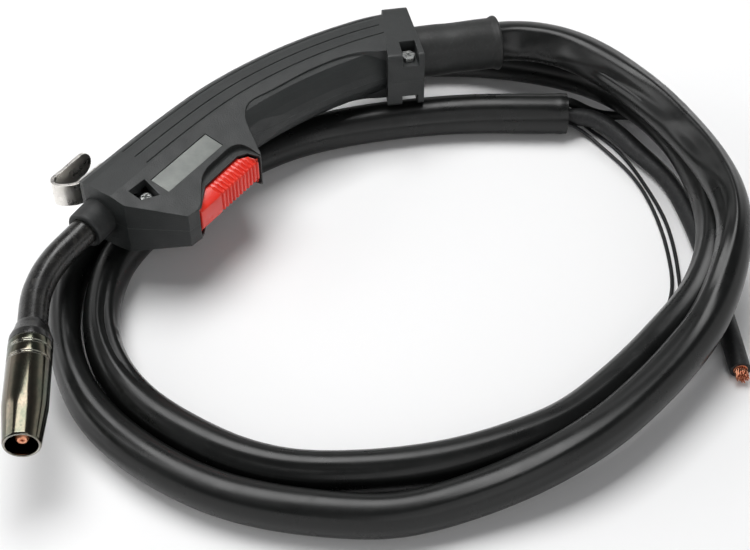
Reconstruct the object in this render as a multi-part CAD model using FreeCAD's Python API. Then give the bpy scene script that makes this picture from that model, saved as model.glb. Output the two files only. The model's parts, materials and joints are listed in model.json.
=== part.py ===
import FreeCAD, Part
import os, math
from FreeCAD import Vector, Placement, Rotation

# MIG welding torch with its cable set, lying on its side.
# Millimetres, +Z up, the resting plane is Z = 0.
# The handle lies flat, so its parting plane is horizontal at PART_Z. The gas nozzle is its
# front end, the strain relief its rear end; the spine is the -X +Y edge, the belly the opposite one.
# Everything is modelled in a working frame and moved by -ORIGIN when it is written.

# ---------------------------------------------------------------- driving dimensions
ORIGIN = (8.52, 5.93, 0.2)   # centre of the footprint in the working frame
PART_Z = 36.0                # height of the handle's parting plane
HALF_THICK = 15.3            # half thickness of the handle at its spine
CHIN_THICK = 8.7             # half thickness at the chin and at the guard tail
GRIP_W = 40.0                # width of the grip, spine to belly
WALL = 2.4                   # shell wall
SLOPE_START, SLOPE_END = 25.5, 58.5   # the side plate slopes between these distances from the spine

BODY_DIR = 56.4              # direction of the front body's long edges, degrees
NECK_DIR = -119.0            # direction in which the neck leaves the handle
NOZZLE_DIR = -83.9           # direction of the gas nozzle
RELIEF_DIR = 11.8            # direction of the strain relief
COLLAR_END = (-128.6, -8.6, PART_Z)    # front end of the collar on the neck axis
NOZZLE_RIM = (-140.2, -77.4, PART_Z)   # rear rim of the gas nozzle on its axis
RELIEF_FACE = (25.4, 125.1, PART_Z)    # strain relief axis on the handle's rear face

NECK_OD = 12.6
NECK_BEND_R = 60.0
NOZZLE_OD = 18.3
NOZZLE_L = 51.0
MOUTH_OD = 14.8
MOUTH_ID = 12.4
TIP_OD = 6.4
TIP_BORE = 1.0
COLLAR_OD = 17.8
RELIEF_OD = 26.0
RELIEF_ID = 22.4

SHEATH_WALL = 1.1
SHEATH_LIFT = 0.3            # added to the heights of SHEATH_PATH
SHEATH_TRIM = 0.2            # taken off the section heights of SHEATH_PATH
CABLE_OD = 9.0
CORE_R = 3.1                 # bore radius of the cable jacket
HOSE_OD, HOSE_ID = 4.8, 2.9
LEAD_OD = 1.8
FINE_STEP = 9.0              # station spacing along the hose, the leads and the spine grooves

TRIG_HALF = 7.0              # half thickness of the trigger
TRIG_PIVOT = (-80.0, 3.0)
SWITCH_CENTRE = (-83.4, 27.4)
SHELL_SCREWS = [(-101.5, 3.8), (16.4, 106.6)]   # front, rear
SHELL_POCKETS = [7.0, 9.0]   # floors of the screw pockets above the parting plane, front, rear
SHELL_HEAD_H = 2.4           # height of a shell screw's head and of its nut
HOOK_SCREWS = (-7.4, -17.6)  # along the spine line, from its first point
HOOK_W, HOOK_THICK = 12.0, 1.5
LABEL_CENTRE = (-84.6, 23.0)
LABEL_L, LABEL_W, LABEL_THICK = 38.8, 10.4, 0.35

# ---------------------------------------------------------------- measured tables
# centreline of the outer sheath: x, y, z, section width, section height
SHEATH_PATH = [
    (34.0, 126.9, 36.0, 20.4, 20.2), (46.0, 129.4, 36.0, 20.4, 20.2),
    (56.0, 131.4, 36.0, 20.6, 20.2), (64.2, 133.2, 36.0, 21.0, 20.0),
    (87.6, 130.5, 36.4, 21.0, 20.0), (107.6, 118.0, 36.7, 20.9, 19.9),
    (123.2, 100.1, 37.1, 20.3, 19.3), (136.1, 80.4, 37.6, 19.3, 18.9),
    (146.3, 59.0, 38.0, 18.2, 18.9), (153.9, 36.6, 38.9, 16.8, 19.8),
    (158.3, 13.3, 39.7, 15.7, 20.5), (157.7, -10.4, 38.8, 15.4, 20.1),
    (151.5, -32.1, 32.0, 16.8, 19.4), (141.0, -51.8, 24.6, 18.5, 18.7),
    (127.1, -70.9, 21.2, 18.5, 18.2), (111.2, -88.6, 20.0, 18.5, 18.0),
    (93.8, -104.8, 18.8, 18.5, 18.0), (74.1, -118.3, 16.7, 18.5, 18.0),
    (52.8, -128.3, 13.2, 18.4, 18.1), (30.6, -136.1, 10.5, 17.8, 18.7),
    (7.7, -141.9, 10.0, 17.1, 19.0), (-15.9, -141.5, 9.9, 17.3, 19.0),
    (-39.4, -138.0, 9.9, 17.6, 19.0), (-62.1, -131.2, 9.9, 17.5, 19.0),
    (-83.3, -120.0, 9.9, 17.5, 19.0), (-102.5, -105.5, 9.9, 17.4, 19.0),
    (-118.7, -87.4, 10.3, 16.2, 19.7), (-129.7, -66.0, 10.9, 14.6, 21.2),
    (-135.7, -43.0, 11.0, 14.2, 21.4), (-137.9, -19.4, 10.6, 14.8, 20.6),
    (-135.5, 4.1, 9.9, 16.5, 19.2), (-127.8, 26.5, 9.9, 18.2, 19.0),
    (-117.0, 47.5, 9.9, 18.5, 19.0), (-104.3, 67.6, 9.9, 18.5, 19.0),
    (-90.3, 86.7, 9.9, 18.5, 19.0), (-74.8, 104.5, 9.9, 18.5, 19.0),
    (-57.4, 120.7, 9.9, 18.5, 19.0), (-38.0, 134.5, 9.9, 18.5, 19.0),
    (-16.7, 144.9, 9.9, 18.5, 19.0), (6.1, 151.0, 9.9, 18.5, 19.0),
    (29.8, 153.3, 9.9, 18.5, 19.0), (53.5, 152.7, 10.1, 18.5, 19.0),
    (76.7, 148.1, 10.7, 18.5, 19.0), (98.6, 139.3, 12.2, 18.5, 19.0),
    (117.7, 125.6, 14.5, 18.5, 19.0), (133.0, 107.6, 16.4, 18.3, 19.0),
    (144.4, 86.9, 17.5, 17.8, 19.0), (152.1, 64.5, 18.4, 17.4, 19.0),
    (156.3, 41.2, 18.9, 17.0, 19.2), (156.4, 17.5, 19.2, 16.5, 19.2),
    (152.4, -5.7, 18.9, 17.0, 19.0), (143.1, -26.6, 14.4, 17.7, 19.0),
    (128.7, -45.1, 10.9, 18.0, 19.0), (113.1, -63.1, 9.9, 18.0, 19.0),
    (96.7, -79.9, 9.8, 18.0, 19.0), (78.8, -95.0, 9.8, 18.0, 19.0),
    (58.1, -105.9, 9.8, 18.0, 19.0), (36.1, -114.2, 9.8, 18.0, 19.0),
    (13.1, -119.3, 9.9, 17.9, 19.0), (-10.5, -121.4, 9.9, 17.6, 19.0),
    (-34.0, -120.4, 9.9, 17.2, 19.0), (-56.4, -113.8, 9.9, 17.2, 19.0),
    (-76.8, -102.3, 9.9, 17.2, 19.0), (-95.1, -88.0, 9.9, 16.9, 19.0),
    (-109.6, -70.2, 10.3, 16.3, 19.9), (-118.5, -48.7, 10.6, 15.8, 20.7),
    (-120.8, -25.4, 10.5, 16.4, 20.3), (-117.9, -1.9, 10.0, 17.5, 19.4),
    (-108.2, 19.6, 9.9, 18.5, 19.0), (-94.5, 39.0, 9.9, 18.8, 19.0),
    (-78.7, 56.5, 9.9, 18.9, 19.0), (-60.9, 72.3, 9.9, 19.1, 19.0),
    (-41.1, 85.3, 9.9, 19.4, 19.1), (-19.2, 94.2, 10.0, 19.9, 19.5),
    (3.7, 100.4, 9.9, 20.4, 19.5), (27.0, 104.5, 9.9, 20.6, 19.6),
    (50.6, 106.2, 10.3, 20.6, 20.2), (74.2, 106.2, 10.6, 20.6, 20.6),
    (97.9, 106.1, 10.6, 20.6, 20.6),
]

# bare cable, hose and trigger leads after they leave the sheath: x, y, z
CABLE_TAIL = [(108.6, 104.5, 9.4), (118.4, 98.6, 8.6), (129.9, 83.8, 6.6), (142.9, 63.4, 5.3),
              (150.0, 39.4, 4.8), (153.6, 11.8, 4.7), (155.1, -12.0, 4.7)]
CABLE_END = [(156.1, -34.3, 4.7), (157.3, -62.6, 4.7)]   # the straight last length
HOSE_TAIL = [(107.5, 113.4, 8.6), (117.5, 113.8, 4.2), (128.0, 114.6, 3.0), (140.0, 113.4, 2.9),
             (149.0, 107.0, 2.9)]
LEAD_A_TAIL = [(106.0, 100.6, 4.0), (115.2, 90.6, 1.7), (128.0, 68.2, 1.5), (135.0, 43.0, 1.5),
               (137.6, 6.3, 1.5), (135.6, -12.5, 1.5), (131.0, -24.9, 1.5), (123.0, -38.9, 1.5)]
LEAD_B_TAIL = [(103.5, 111.3, 6.0), (108.5, 107.0, 2.4), (115.5, 99.0, 1.5), (126.0, 82.0, 1.5),
               (133.2, 62.0, 1.5), (139.4, 37.1, 1.5), (141.0, 13.1, 1.5), (140.0, -8.0, 1.5),
               (138.6, -22.5, 1.5)]

# All outlines below are x, y in the ground plane.
# spine of the handle on the parting plane, front to rear
SPINE = [(-121.1, 35.1), (-115.2, 43.7), (-109.2, 52.2), (-103.1, 60.6), (-97.0, 68.8),
         (-90.6, 76.9), (-84.1, 84.5), (-77.4, 91.5), (-70.6, 98.1), (-63.6, 104.3),
         (-56.5, 110.2), (-49.3, 115.8), (-42.0, 121.0), (-34.6, 125.9), (-27.1, 130.5),
         (-19.6, 134.8), (-11.9, 138.9), (-3.9, 142.4), (4.2, 144.9), (15.2, 147.2), (24.0, 149.0)]
# edge of the side plate over the finger recess, from the guard tail to the rear block
PLATE_EDGE = [(-53.9, 37.0), (-59.1, 50.0), (-60.9, 58.5), (-59.3, 65.5), (-53.2, 71.6),
              (-38.1, 85.0), (-22.4, 97.0), (-6.2, 104.6), (0.8, 105.2)]
# rest of the side plate's outline, either side of that edge; it starts with the nose line
PLATE_AHEAD = [(-109.4, -7.1), (-129.2, 6.6), (-131.4, 9.6), (-131.9, 14.0), (-150.0, 40.0),
               (-100.0, 120.0), (0.0, 175.0), (13.9, 175.0), (17.0, 132.0), (12.0, 110.0),
               (7.0, 106.0)]
PLATE_AFTER = [(-52.6, 34.6), (-52.3, 33.4), (-77.0, -3.4), (-81.6, -8.8)]
# belly line on the parting plane, under the finger recess, and the rest of the grip's outline
BELLY = [(-60.5, 52.0), (-57.5, 56.8), (-44.3, 68.7), (-30.3, 79.5), (-14.4, 91.2), (2.0, 98.6),
         (8.7, 99.0)]
GRIP_REST = [(12.0, 99.5), (20.0, 110.0), (15.2, 148.0), (10.0, 175.0), (-60.0, 150.0),
             (-110.0, 60.0), (-95.0, 45.0), (-72.0, 43.0)]
REAR_BLOCK = [(6.4, 98.4), (24.6, 101.2), (15.0, 146.6), (3.2, 144.4)]
CAVITY = [(-124.0, 6.6), (-113.5, -0.6), (-106.0, -3.6), (-84.0, -5.4), (-81.8, 1.0),
          (-81.8, 16.0), (-72.0, 36.0), (-62.0, 46.0), (-63.5, 60.0), (-50.0, 70.0),
          (-30.0, 86.0), (-8.0, 99.0), (6.0, 104.0), (12.4, 105.6), (5.5, 139.5), (-4.0, 150.0),
          (-60.0, 140.0), (-128.0, 30.0), (-125.6, 16.0)]
FRONT_CAVITY = [(-113.0, 0.0), (-108.0, -3.2), (-84.0, -5.2), (-82.0, 1.0), (-81.6, 16.0),
                (-76.0, 30.0), (-72.0, 36.0), (-84.0, 44.0), (-104.0, 20.0)]
# edge of the recess around the trigger
TRIG_RECESS = [(-77.1, -3.0), (-77.5, 10.6), (-77.3, 16.3), (-75.4, 21.8), (-70.5, 29.5),
               (-66.0, 35.9), (-62.3, 38.0), (-57.7, 36.6), (-53.4, 33.4)]
# opening the trigger shows through, and the slot it swings in
TRIG_WINDOW = [(-70.0, -14.0), (-77.6, -3.4), (-76.6, -1.6), (-76.0, 12.0), (-69.3, 22.8),
               (-62.9, 32.8), (-58.6, 34.8), (-54.2, 32.9), (-40.0, 26.0)]
TRIG_SLOT = [(-70.0, -14.0), (-77.4, -3.6), (-83.5, -2.0), (-84.2, 9.0), (-80.2, 14.0),
             (-80.5, 21.0), (-66.0, 39.4), (-60.0, 40.0), (-54.0, 33.6), (-40.0, 26.0)]
FRONT_POCKET = [(-102.3, 9.8), (-94.9, 1.7), (-102.6, -2.6), (-108.4, 1.6)]
REAR_POCKET = [(11.8, 112.0), (19.6, 113.4), (22.0, 99.0), (14.4, 96.0)]
TRIGGER = [(-76.7, -2.3), (-53.3, 32.6), (-54.6, 32.2), (-58.5, 34.0), (-62.3, 32.3),
           (-66.0, 33.0), (-70.2, 26.6), (-76.0, 17.0), (-77.8, 11.0), (-82.4, 6.4),
           (-82.9, 2.2), (-81.4, -0.6), (-78.6, -1.6)]
# free part of the hanging hook, from its tip to where it meets the spine line
HOOK_BEND = [(-133.2, 41.0), (-136.2, 36.6), (-140.4, 29.6), (-144.2, 23.4), (-146.2, 19.6),
             (-145.2, 16.6), (-142.0, 15.4), (-138.2, 15.6)]

# cross sections of the handle: distance from the spine, height above the parting plane
ARCH = [(0.0, 0.0), (0.15, 3.6), (0.9, 6.6), (2.4, 9.6), (4.8, 12.4), (8.0, 14.4), (12.0, 15.2),
        (16.5, 15.3)]
GRIP_SECTION = [(u + 1.1, max(0.0, z - 0.5)) for u, z in ARCH] + [
    (22.0, 14.7), (GRIP_W - 9.3, 13.6), (GRIP_W - 6.5, 12.7), (GRIP_W - 4.0, 10.6),
    (GRIP_W - 2.0, 7.6), (GRIP_W - 0.6, 3.8), (GRIP_W, 0.0)]
CAVITY_W = GRIP_W - 3.2
CAVITY_SECTION = [
    (WALL, 0.0), (WALL + 0.4, 5.6), (WALL + 2.2, 9.0), (WALL + 5.5, 11.6),
    (12.0, HALF_THICK - WALL), (20.0, HALF_THICK - WALL - 0.2), (CAVITY_W - 8.0, 10.6),
    (CAVITY_W - 4.0, 8.0), (CAVITY_W - 1.5, 4.5), (CAVITY_W, 0.0)]


# ---------------------------------------------------------------- points and directions
def vec(point):
    return Vector(point[0], point[1], point[2])


def unit(degrees):
    return (math.cos(math.radians(degrees)), math.sin(math.radians(degrees)), 0.0)


def flip(direction):
    return (-direction[0], -direction[1], 0.0)


def right_of(direction):
    """Level direction to the right of another, seen from above."""
    return (direction[1], -direction[0], 0.0)


def heading(start, end):
    """Level unit direction from start to end."""
    length = math.hypot(end[0] - start[0], end[1] - start[1])
    return ((end[0] - start[0]) / length, (end[1] - start[1]) / length, 0.0)


def angle_of(direction):
    return math.degrees(math.atan2(direction[1], direction[0]))


def along(point, direction, distance):
    """Moved point, with as many coordinates as the point given."""
    return tuple(p + d * distance for p, d in zip(point, direction))


BODY = unit(BODY_DIR)                # along the front body, nose to rear
BELLYWARD = right_of(BODY)           # from the spine to the belly
SPINEWARD = flip(BELLYWARD)
NECK = unit(NECK_DIR)
NECK_BACK = flip(NECK)               # back into the handle
NECK_SIDE = right_of(NECK_BACK)      # square to the neck, on the belly side
NOZZLE = unit(NOZZLE_DIR)
RELIEF = unit(RELIEF_DIR)


def on_spine(distance, off):
    """x, y on the front body's straight spine line; off is outward from it."""
    return along(along(SPINE[0], BODY, distance), SPINEWARD, off)


def by_switch(forward, spineward, z):
    """Point beside the microswitch; forward runs along BODY."""
    return along(along(SWITCH_CENTRE, BODY, forward), SPINEWARD, spineward) + (z,)


HOOK_POINTS = [on_spine(s, 0.0) + (PART_Z,) for s in HOOK_SCREWS]
BUTTON = by_switch(-1.5, -3.2, PART_Z)   # where the button leaves the switch


# ---------------------------------------------------------------- basic shapes
def prism(points, z0, z1):
    outline = [Vector(x, y, z0) for x, y in points]
    wire = Part.makePolygon(outline + [outline[0]])
    return Part.Face(wire).extrude(Vector(0, 0, z1 - z0))


def hexagon(x, y, radius, turn=0):
    angles = [math.radians(60 * i + turn) for i in range(6)]
    return [(x + radius * math.cos(a), y + radius * math.sin(a)) for a in angles]


def smooth_points(points, count):
    """Points at even parameters on a smooth curve through the given ones."""
    curve = Part.BSplineCurve()
    curve.interpolate([Vector(x, y, 0) for x, y in points])
    first, last = curve.FirstParameter, curve.LastParameter
    on_curve = [curve.value(first + (last - first) * i / count) for i in range(count + 1)]
    return [(p.x, p.y) for p in on_curve]


def turned(profile, origin, direction):
    """Solid of revolution: profile is (distance along the axis, radius)."""
    points = [Vector(radius, 0, distance) for distance, radius in profile]
    face = Part.Face(Part.makePolygon(points + [points[0]]))
    solid = face.revolve(Vector(0, 0, 0), Vector(0, 0, 1), 360)
    solid.Placement = Placement(vec(origin), Rotation(Vector(0, 0, 1), Vector(*direction)))
    return solid


def rod(origin, direction, start, end, radius):
    axis = Vector(*direction)
    axis.normalize()
    return Part.makeCylinder(radius, end - start, vec(origin) + axis * start, axis)


def post(centre, radius, z, height):
    return Part.makeCylinder(radius, height, Vector(centre[0], centre[1], z))


def place(shape, position, turn, tilt=0.0):
    """Tilt about X, then turn about Z, then move."""
    tilted = Placement(Vector(0, 0, 0), Rotation(Vector(1, 0, 0), tilt))
    turned_to = Placement(vec(position), Rotation(Vector(0, 0, 1), turn))
    shape.Placement = turned_to.multiply(tilted)
    return shape


def box_at(centre, direction, length, width, height, z):
    """Box with its length along a level direction, standing on z."""
    box = Part.makeBox(length, width, height, Vector(-length / 2.0, -width / 2.0, 0))
    return place(box, (centre[0], centre[1], z), angle_of(direction))


def coil(pitch, height, radius, wire_radius):
    """Spring standing on the origin, along Z."""
    path = Part.Wire(Part.makeHelix(pitch, height, radius))
    section = Part.makeCircle(wire_radius, Vector(radius, 0, 0), Vector(0, 1, 0))
    return path.makePipeShell([Part.Wire(section)], True, True)


def mirror_z(shape):
    return shape.mirror(Vector(0, 0, PART_Z), Vector(0, 0, 1))


def biggest(shape):
    return max(shape.Solids, key=lambda solid: solid.Volume)


# ---------------------------------------------------------------- bars and tubes on a curve
def section_ring(point, direction, width, height):
    """Closed oval section square to the direction, a circle when width and height agree."""
    axis = Vector(*direction)
    axis.normalize()
    across = Vector(0, 0, 1).cross(axis)
    across.normalize()
    if abs(height - width) < 1e-9:
        circle = Part.Circle(vec(point), axis, width / 2.0)
        circle.XAxis = across
        return Part.Wire(circle.toShape())
    upward = axis.cross(across)
    points = []
    for i in range(12):
        a = math.radians(30 * i)
        points.append(vec(point) + across * (width / 2.0 * math.cos(a))
                      + upward * (height / 2.0 * math.sin(a)))
    curve = Part.BSplineCurve()
    curve.interpolate(points, PeriodicFlag=True)
    return Part.Wire(curve.toShape())


def section_rings(points, size, step):
    """Sections at even stations on a smooth curve through the points.

    size is one diameter, or a list with a (width, height) for each point."""
    sizes = size if isinstance(size, list) else [(size, size)] * len(points)
    curve = Part.BSplineCurve()
    knots = [vec(p) for p in points]
    curve.interpolate(knots)
    length = curve.length()
    first, last = curve.FirstParameter, curve.LastParameter
    reached = [0.0] + [curve.length(first, curve.parameter(q)) for q in knots[1:-1]] + [length]
    count = max(2, int(math.ceil(length / step)))
    rings, k = [], 0
    for i in range(count + 1):
        distance = length * i / count
        if i == 0:
            t = first
        elif i == count:
            t = last
        else:
            t = curve.parameterAtDistance(distance)
        while k < len(reached) - 2 and reached[k + 1] < distance:
            k += 1
        part = (distance - reached[k]) / (reached[k + 1] - reached[k])
        width, height = [u + (v - u) * part for u, v in zip(sizes[k], sizes[k + 1])]
        rings.append(section_ring(curve.value(t), curve.tangent(t)[0], width, height))
    return rings


def skin(rings):
    """Faces of a skin through the sections, lofted in lengths of about ten sections."""
    spans = len(rings) - 1
    lengths = max(1, int(round(spans / 10.0)))
    cuts = [int(round(spans * j / float(lengths))) for j in range(lengths + 1)]
    faces = []
    for a, b in zip(cuts[:-1], cuts[1:]):
        faces += Part.makeLoft(rings[a:b + 1], False, True).Faces
    return faces


def lofted_tube(points, outer, inner=None, step=11.0):
    """Tube through the points, or a solid bar when inner is left out."""
    outer_rings = section_rings(points, outer, step)
    faces = skin(outer_rings)
    if inner is None:
        faces += [Part.Face(outer_rings[k]) for k in (0, -1)]
    else:
        inner_rings = section_rings(points, inner, step)
        faces += skin(inner_rings)
        faces += [Part.Face(outer_rings[k]).cut(Part.Face(inner_rings[k])).Faces[0]
                  for k in (0, -1)]
    shell = Part.Shell(faces)
    shell.sewShape()
    solid = Part.Solid(shell)
    if solid.Volume < 0:
        solid.reverse()
    return solid


# ---------------------------------------------------------------- handle shells
def handle_stations():
    """(spine point, belly-ward direction) of each section of the handle, front to rear."""
    stations = [(on_spine(s, 0.0), BELLYWARD) for s in (-44.0, -22.0, -8.0)]
    for i in range(1, len(SPINE) - 1, 2):
        ahead = BODY if i < 4 else heading(SPINE[i - 1], SPINE[i + 1])
        stations.append((SPINE[i], right_of(ahead)))
    stations.append((SPINE[-1], right_of(heading(SPINE[-2], SPINE[-1]))))
    return stations


STATIONS = handle_stations()


def plate_section(k):
    """Section of the side plate; its slope fades out toward the rear."""
    drop = (HALF_THICK - CHIN_THICK) * max(0.12, min(1.0, 1.0 - (k - 6) / 7.0))
    return ARCH + [(SLOPE_START, HALF_THICK), (SLOPE_END, HALF_THICK - drop),
                   (66.0, HALF_THICK - drop * 1.23), (66.0, 0.0)]


def handle_loft(sections):
    wires = []
    for (point, belly), section in zip(STATIONS, sections):
        points = [vec(along(point, belly, u) + (PART_Z + z,)) for u, z in section]
        wires.append(Part.makePolygon(points + [points[0]]))
    return Part.makeLoft(wires, True, False)


def make_rear_block():
    """Block at the rear, a little prouder than the grip, with three rounded top edges."""
    block = prism(REAR_BLOCK, PART_Z, PART_Z + HALF_THICK)
    rounds = []
    for edge in block.Edges:
        a, b = edge.Vertexes[0].Point, edge.Vertexes[-1].Point
        if all(abs(p.z - PART_Z - HALF_THICK) < 0.01 for p in (a, b)):
            middle = (a + b) * 0.5
            if middle.y > 140:
                rounds.append((edge, 7.0))
            elif middle.y < 101:
                rounds.append((edge, 2.6))
            elif middle.x > 18:
                rounds.append((edge, 1.2))
    for edge, radius in rounds:
        # An earlier fillet may have replaced this edge; it is then left sharp.
        try:
            block = block.makeFillet(radius, [e for e in block.Edges if e.isSame(edge)] or [edge])
        except Exception:
            pass
    return block


def make_half_outside():
    """Solid upper half, before anything is cut from it."""
    count = len(STATIONS)
    plate_loft = handle_loft([plate_section(k) for k in range(count)])
    grip_loft = handle_loft([GRIP_SECTION] * count)
    plate_outline = PLATE_AHEAD + smooth_points(PLATE_EDGE, 28)[::-1] + PLATE_AFTER
    plate = plate_loft.common(prism(plate_outline, PART_Z, PART_Z + 20))
    grip_outline = smooth_points(BELLY, 20) + GRIP_REST
    grip = grip_loft.common(prism(grip_outline, PART_Z, PART_Z + 20))
    return plate.fuse(grip).fuse(make_rear_block()).removeSplitter()


def make_cavity():
    cavity = handle_loft([CAVITY_SECTION] * len(STATIONS))
    cavity = cavity.common(prism(CAVITY, PART_Z, PART_Z + 20))
    cavity = cavity.fuse(prism(FRONT_CAVITY, PART_Z, PART_Z + CHIN_THICK - 1.6))
    # bosses left standing around the screws and the trigger pivot
    for centre in SHELL_SCREWS:
        cavity = cavity.cut(post(centre, 4.6, PART_Z, 20))
    return cavity.cut(post(TRIG_PIVOT, 3.0, PART_Z + TRIG_HALF + 0.6, 20))


def make_nose_bevel():
    nose_turn = angle_of(heading(PLATE_AHEAD[0], PLATE_AHEAD[1])) + 180.0
    bevel = Part.makeBox(60, 14, 30, Vector(-30, -14, 0))
    return place(bevel, (-119.4, -0.3, PART_Z + 11.8), nose_turn, 38.0)


def make_relief_hole():
    into_handle = flip(RELIEF)
    bore = rod(RELIEF_FACE, into_handle, -8.0, 20.0, RELIEF_OD / 2 + 0.1)
    flange_groove = rod(RELIEF_FACE, into_handle, 8.4, 12.4, RELIEF_OD / 2 + 1.1)
    return bore.fuse(flange_groove)


def make_spine_groove(from_spine, height):
    """Cutter along the spine, from the third station to the third from the rear."""
    points = []
    for k, (point, belly) in enumerate(STATIONS[2:-2]):
        shift = 6.0 if k == 0 else 0.0
        spot = along(along(point, belly, from_spine), BODY, shift)
        points.append(spot + (PART_Z + height,))
    return lofted_tube(points, 0.9, step=FINE_STEP)


def make_half():
    """Upper half with everything both halves share."""
    recess = [(-70.0, -14.0)] + smooth_points(TRIG_RECESS, 24) + [(-40.0, 30.0)]
    top = PART_Z + 20
    cutters = [
        make_nose_bevel(),
        make_cavity(),
        prism(recess, PART_Z + 8.4, top),
        prism(TRIG_WINDOW, PART_Z, top),
        prism(TRIG_SLOT, PART_Z, PART_Z + TRIG_HALF + 0.5),
        prism(FRONT_POCKET, PART_Z + SHELL_POCKETS[0], top),
        prism(REAR_POCKET, PART_Z + SHELL_POCKETS[1], top),
        rod(COLLAR_END, NECK_BACK, 5.0, 26.0, COLLAR_OD / 2 + 0.15),
        make_relief_hole(),
    ]
    cutters += [post(centre, 1.65, PART_Z - 1, 40) for centre in SHELL_SCREWS]
    cutters.append(post(TRIG_PIVOT, 1.55, PART_Z - 1, 10.5))
    cutters.append(rod(BUTTON, BELLYWARD, -0.5, 8.0, 1.4))
    # notch over the hook's strip
    cutters.append(box_at(on_spine(-9.8, 3.0), BODY, 29.0, 14.4, 20.0, PART_Z + 6.6))
    for from_spine, height in ((9.6, 14.65), (17.0, 15.2), (24.0, 15.2)):
        cutters.append(make_spine_groove(from_spine, height))
    half = make_half_outside()
    for cutter in cutters:
        half = half.cut(cutter)
    return half


def plate_box(length, width, thick, rise):
    """Box at the label's centre on the sloping side plate, its top `rise` above the surface."""
    tilt = math.degrees(math.atan2(HALF_THICK - CHIN_THICK, SLOPE_END - SLOPE_START))
    x, y = LABEL_CENTRE
    from_spine = (x - SPINE[0][0]) * BELLYWARD[0] + (y - SPINE[0][1]) * BELLYWARD[1]
    drop = (from_spine - SLOPE_START) * math.tan(math.radians(tilt))
    box = Part.makeBox(length, width, thick, Vector(-length / 2.0, -width / 2.0, rise - thick))
    return place(box, (x, y, PART_Z + HALF_THICK - drop), BODY_DIR, tilt)


def make_handle_shells():
    """Upper and lower shell; only the upper one has the label recess."""
    upper = make_half()
    lower = mirror_z(upper)
    upper = upper.cut(plate_box(LABEL_L, LABEL_W, 3.4, 2.4))
    for point in HOOK_POINTS:
        hole = rod(point, SPINEWARD, -9.0, 2.0, 1.55)
        nut_pocket = rod(point, SPINEWARD, -6.6, -3.6, 3.5)
        upper = upper.cut(hole).cut(nut_pocket)
        lower = lower.cut(hole).cut(nut_pocket)
    return biggest(upper), biggest(lower)


def make_label_plate():
    return plate_box(LABEL_L - 0.3, LABEL_W - 0.3, LABEL_THICK, LABEL_THICK - 0.6)


# ---------------------------------------------------------------- shell screws and nuts
def shell_screw(x, y, top, bottom, hex_head=False):
    """Cross-recessed screw, its head hexagonal or round with a rounded rim."""
    under_head = top - SHELL_HEAD_H
    shank = post((x, y), 1.5, bottom, under_head - bottom)
    if hex_head:
        head = prism(hexagon(x, y, 3.6, 15), under_head, top)
    else:
        head = post((x, y), 3.1, under_head, SHELL_HEAD_H)
        rim = [e for e in head.Edges
               if abs(e.BoundBox.ZMin - top) < 0.01 and abs(e.BoundBox.ZMax - top) < 0.01]
        head = head.makeFillet(0.9, rim)
    cross = Part.makeBox(3.6, 0.8, 1.5, Vector(x - 1.8, y - 0.4, top - 1.4))
    cross = cross.fuse(Part.makeBox(0.8, 3.6, 1.5, Vector(x - 0.4, y - 1.8, top - 1.4)))
    return shank.fuse(head).cut(cross)


def make_shell_screws():
    (front_x, front_y), (rear_x, rear_y) = SHELL_SCREWS
    front_top, rear_top = [PART_Z + floor + 2.45 for floor in SHELL_POCKETS]
    return Part.makeCompound([
        shell_screw(front_x, front_y, front_top, PART_Z - 11.5),
        shell_screw(rear_x, rear_y, rear_top, PART_Z - 13.0, hex_head=True)])


def make_shell_nuts():
    nuts = []
    for (x, y), floor in zip(SHELL_SCREWS, SHELL_POCKETS):
        top = PART_Z - floor - 0.05
        nut = prism(hexagon(x, y, 3.2), top - SHELL_HEAD_H, top)
        nuts.append(nut.cut(post((x, y), 1.52, top - 3, 4)))
    return Part.makeCompound(nuts)


# ---------------------------------------------------------------- hanging hook
def ribbon(points, width, thick):
    """Bent strip on edge, centred on the parting plane; points are its centreline."""
    curve = Part.BSplineCurve()
    curve.interpolate([Vector(x, y, 0) for x, y in points])
    first, last = curve.FirstParameter, curve.LastParameter
    z = PART_Z - width / 2.0
    left, right = [], []
    count = 60
    for i in range(count + 1):
        t = first + (last - first) * i / count
        middle = curve.value(t)
        across = right_of(curve.tangent(t)[0])
        for side, off in ((left, -thick / 2), (right, thick / 2)):
            side.append(Vector(middle.x + across[0] * off, middle.y + across[1] * off, z))

    def edge(side):
        spline = Part.BSplineCurve()
        spline.interpolate(side)
        return spline.toShape()

    outline = Part.Wire([edge(left), Part.makeLine(left[-1], right[-1]),
                         edge(right[::-1]), Part.makeLine(right[0], left[0])])
    return Part.Face(outline).extrude(Vector(0, 0, width))


def make_hanging_hook():
    path = HOOK_BEND + [on_spine(-22.4, 1.0), on_spine(-20.0, 0.86)]
    path += [on_spine(s, 0.85) for s in (-17.0, -12.0, -6.0, 0.0, 3.2)]
    hook = ribbon(path, HOOK_W, HOOK_THICK)
    # rounded tip: trim away all but a half disc as wide as the strip
    tip = HOOK_BEND[0]
    outward = heading(HOOK_BEND[1], tip)
    across = right_of(outward)
    tip_r = HOOK_W / 2
    disc_start = along(along(tip, outward, -tip_r), across, 20) + (PART_Z,)
    disc = Part.makeCylinder(tip_r, 40, vec(disc_start), vec(flip(across)))
    hook = hook.cut(box_at(tip, outward, 12.0, 30.0, 14.0, PART_Z - 7).cut(disc))
    for point in HOOK_POINTS:
        hook = hook.cut(rod(point, SPINEWARD, -1.0, 4.0, 1.6))
    return biggest(hook)


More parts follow.
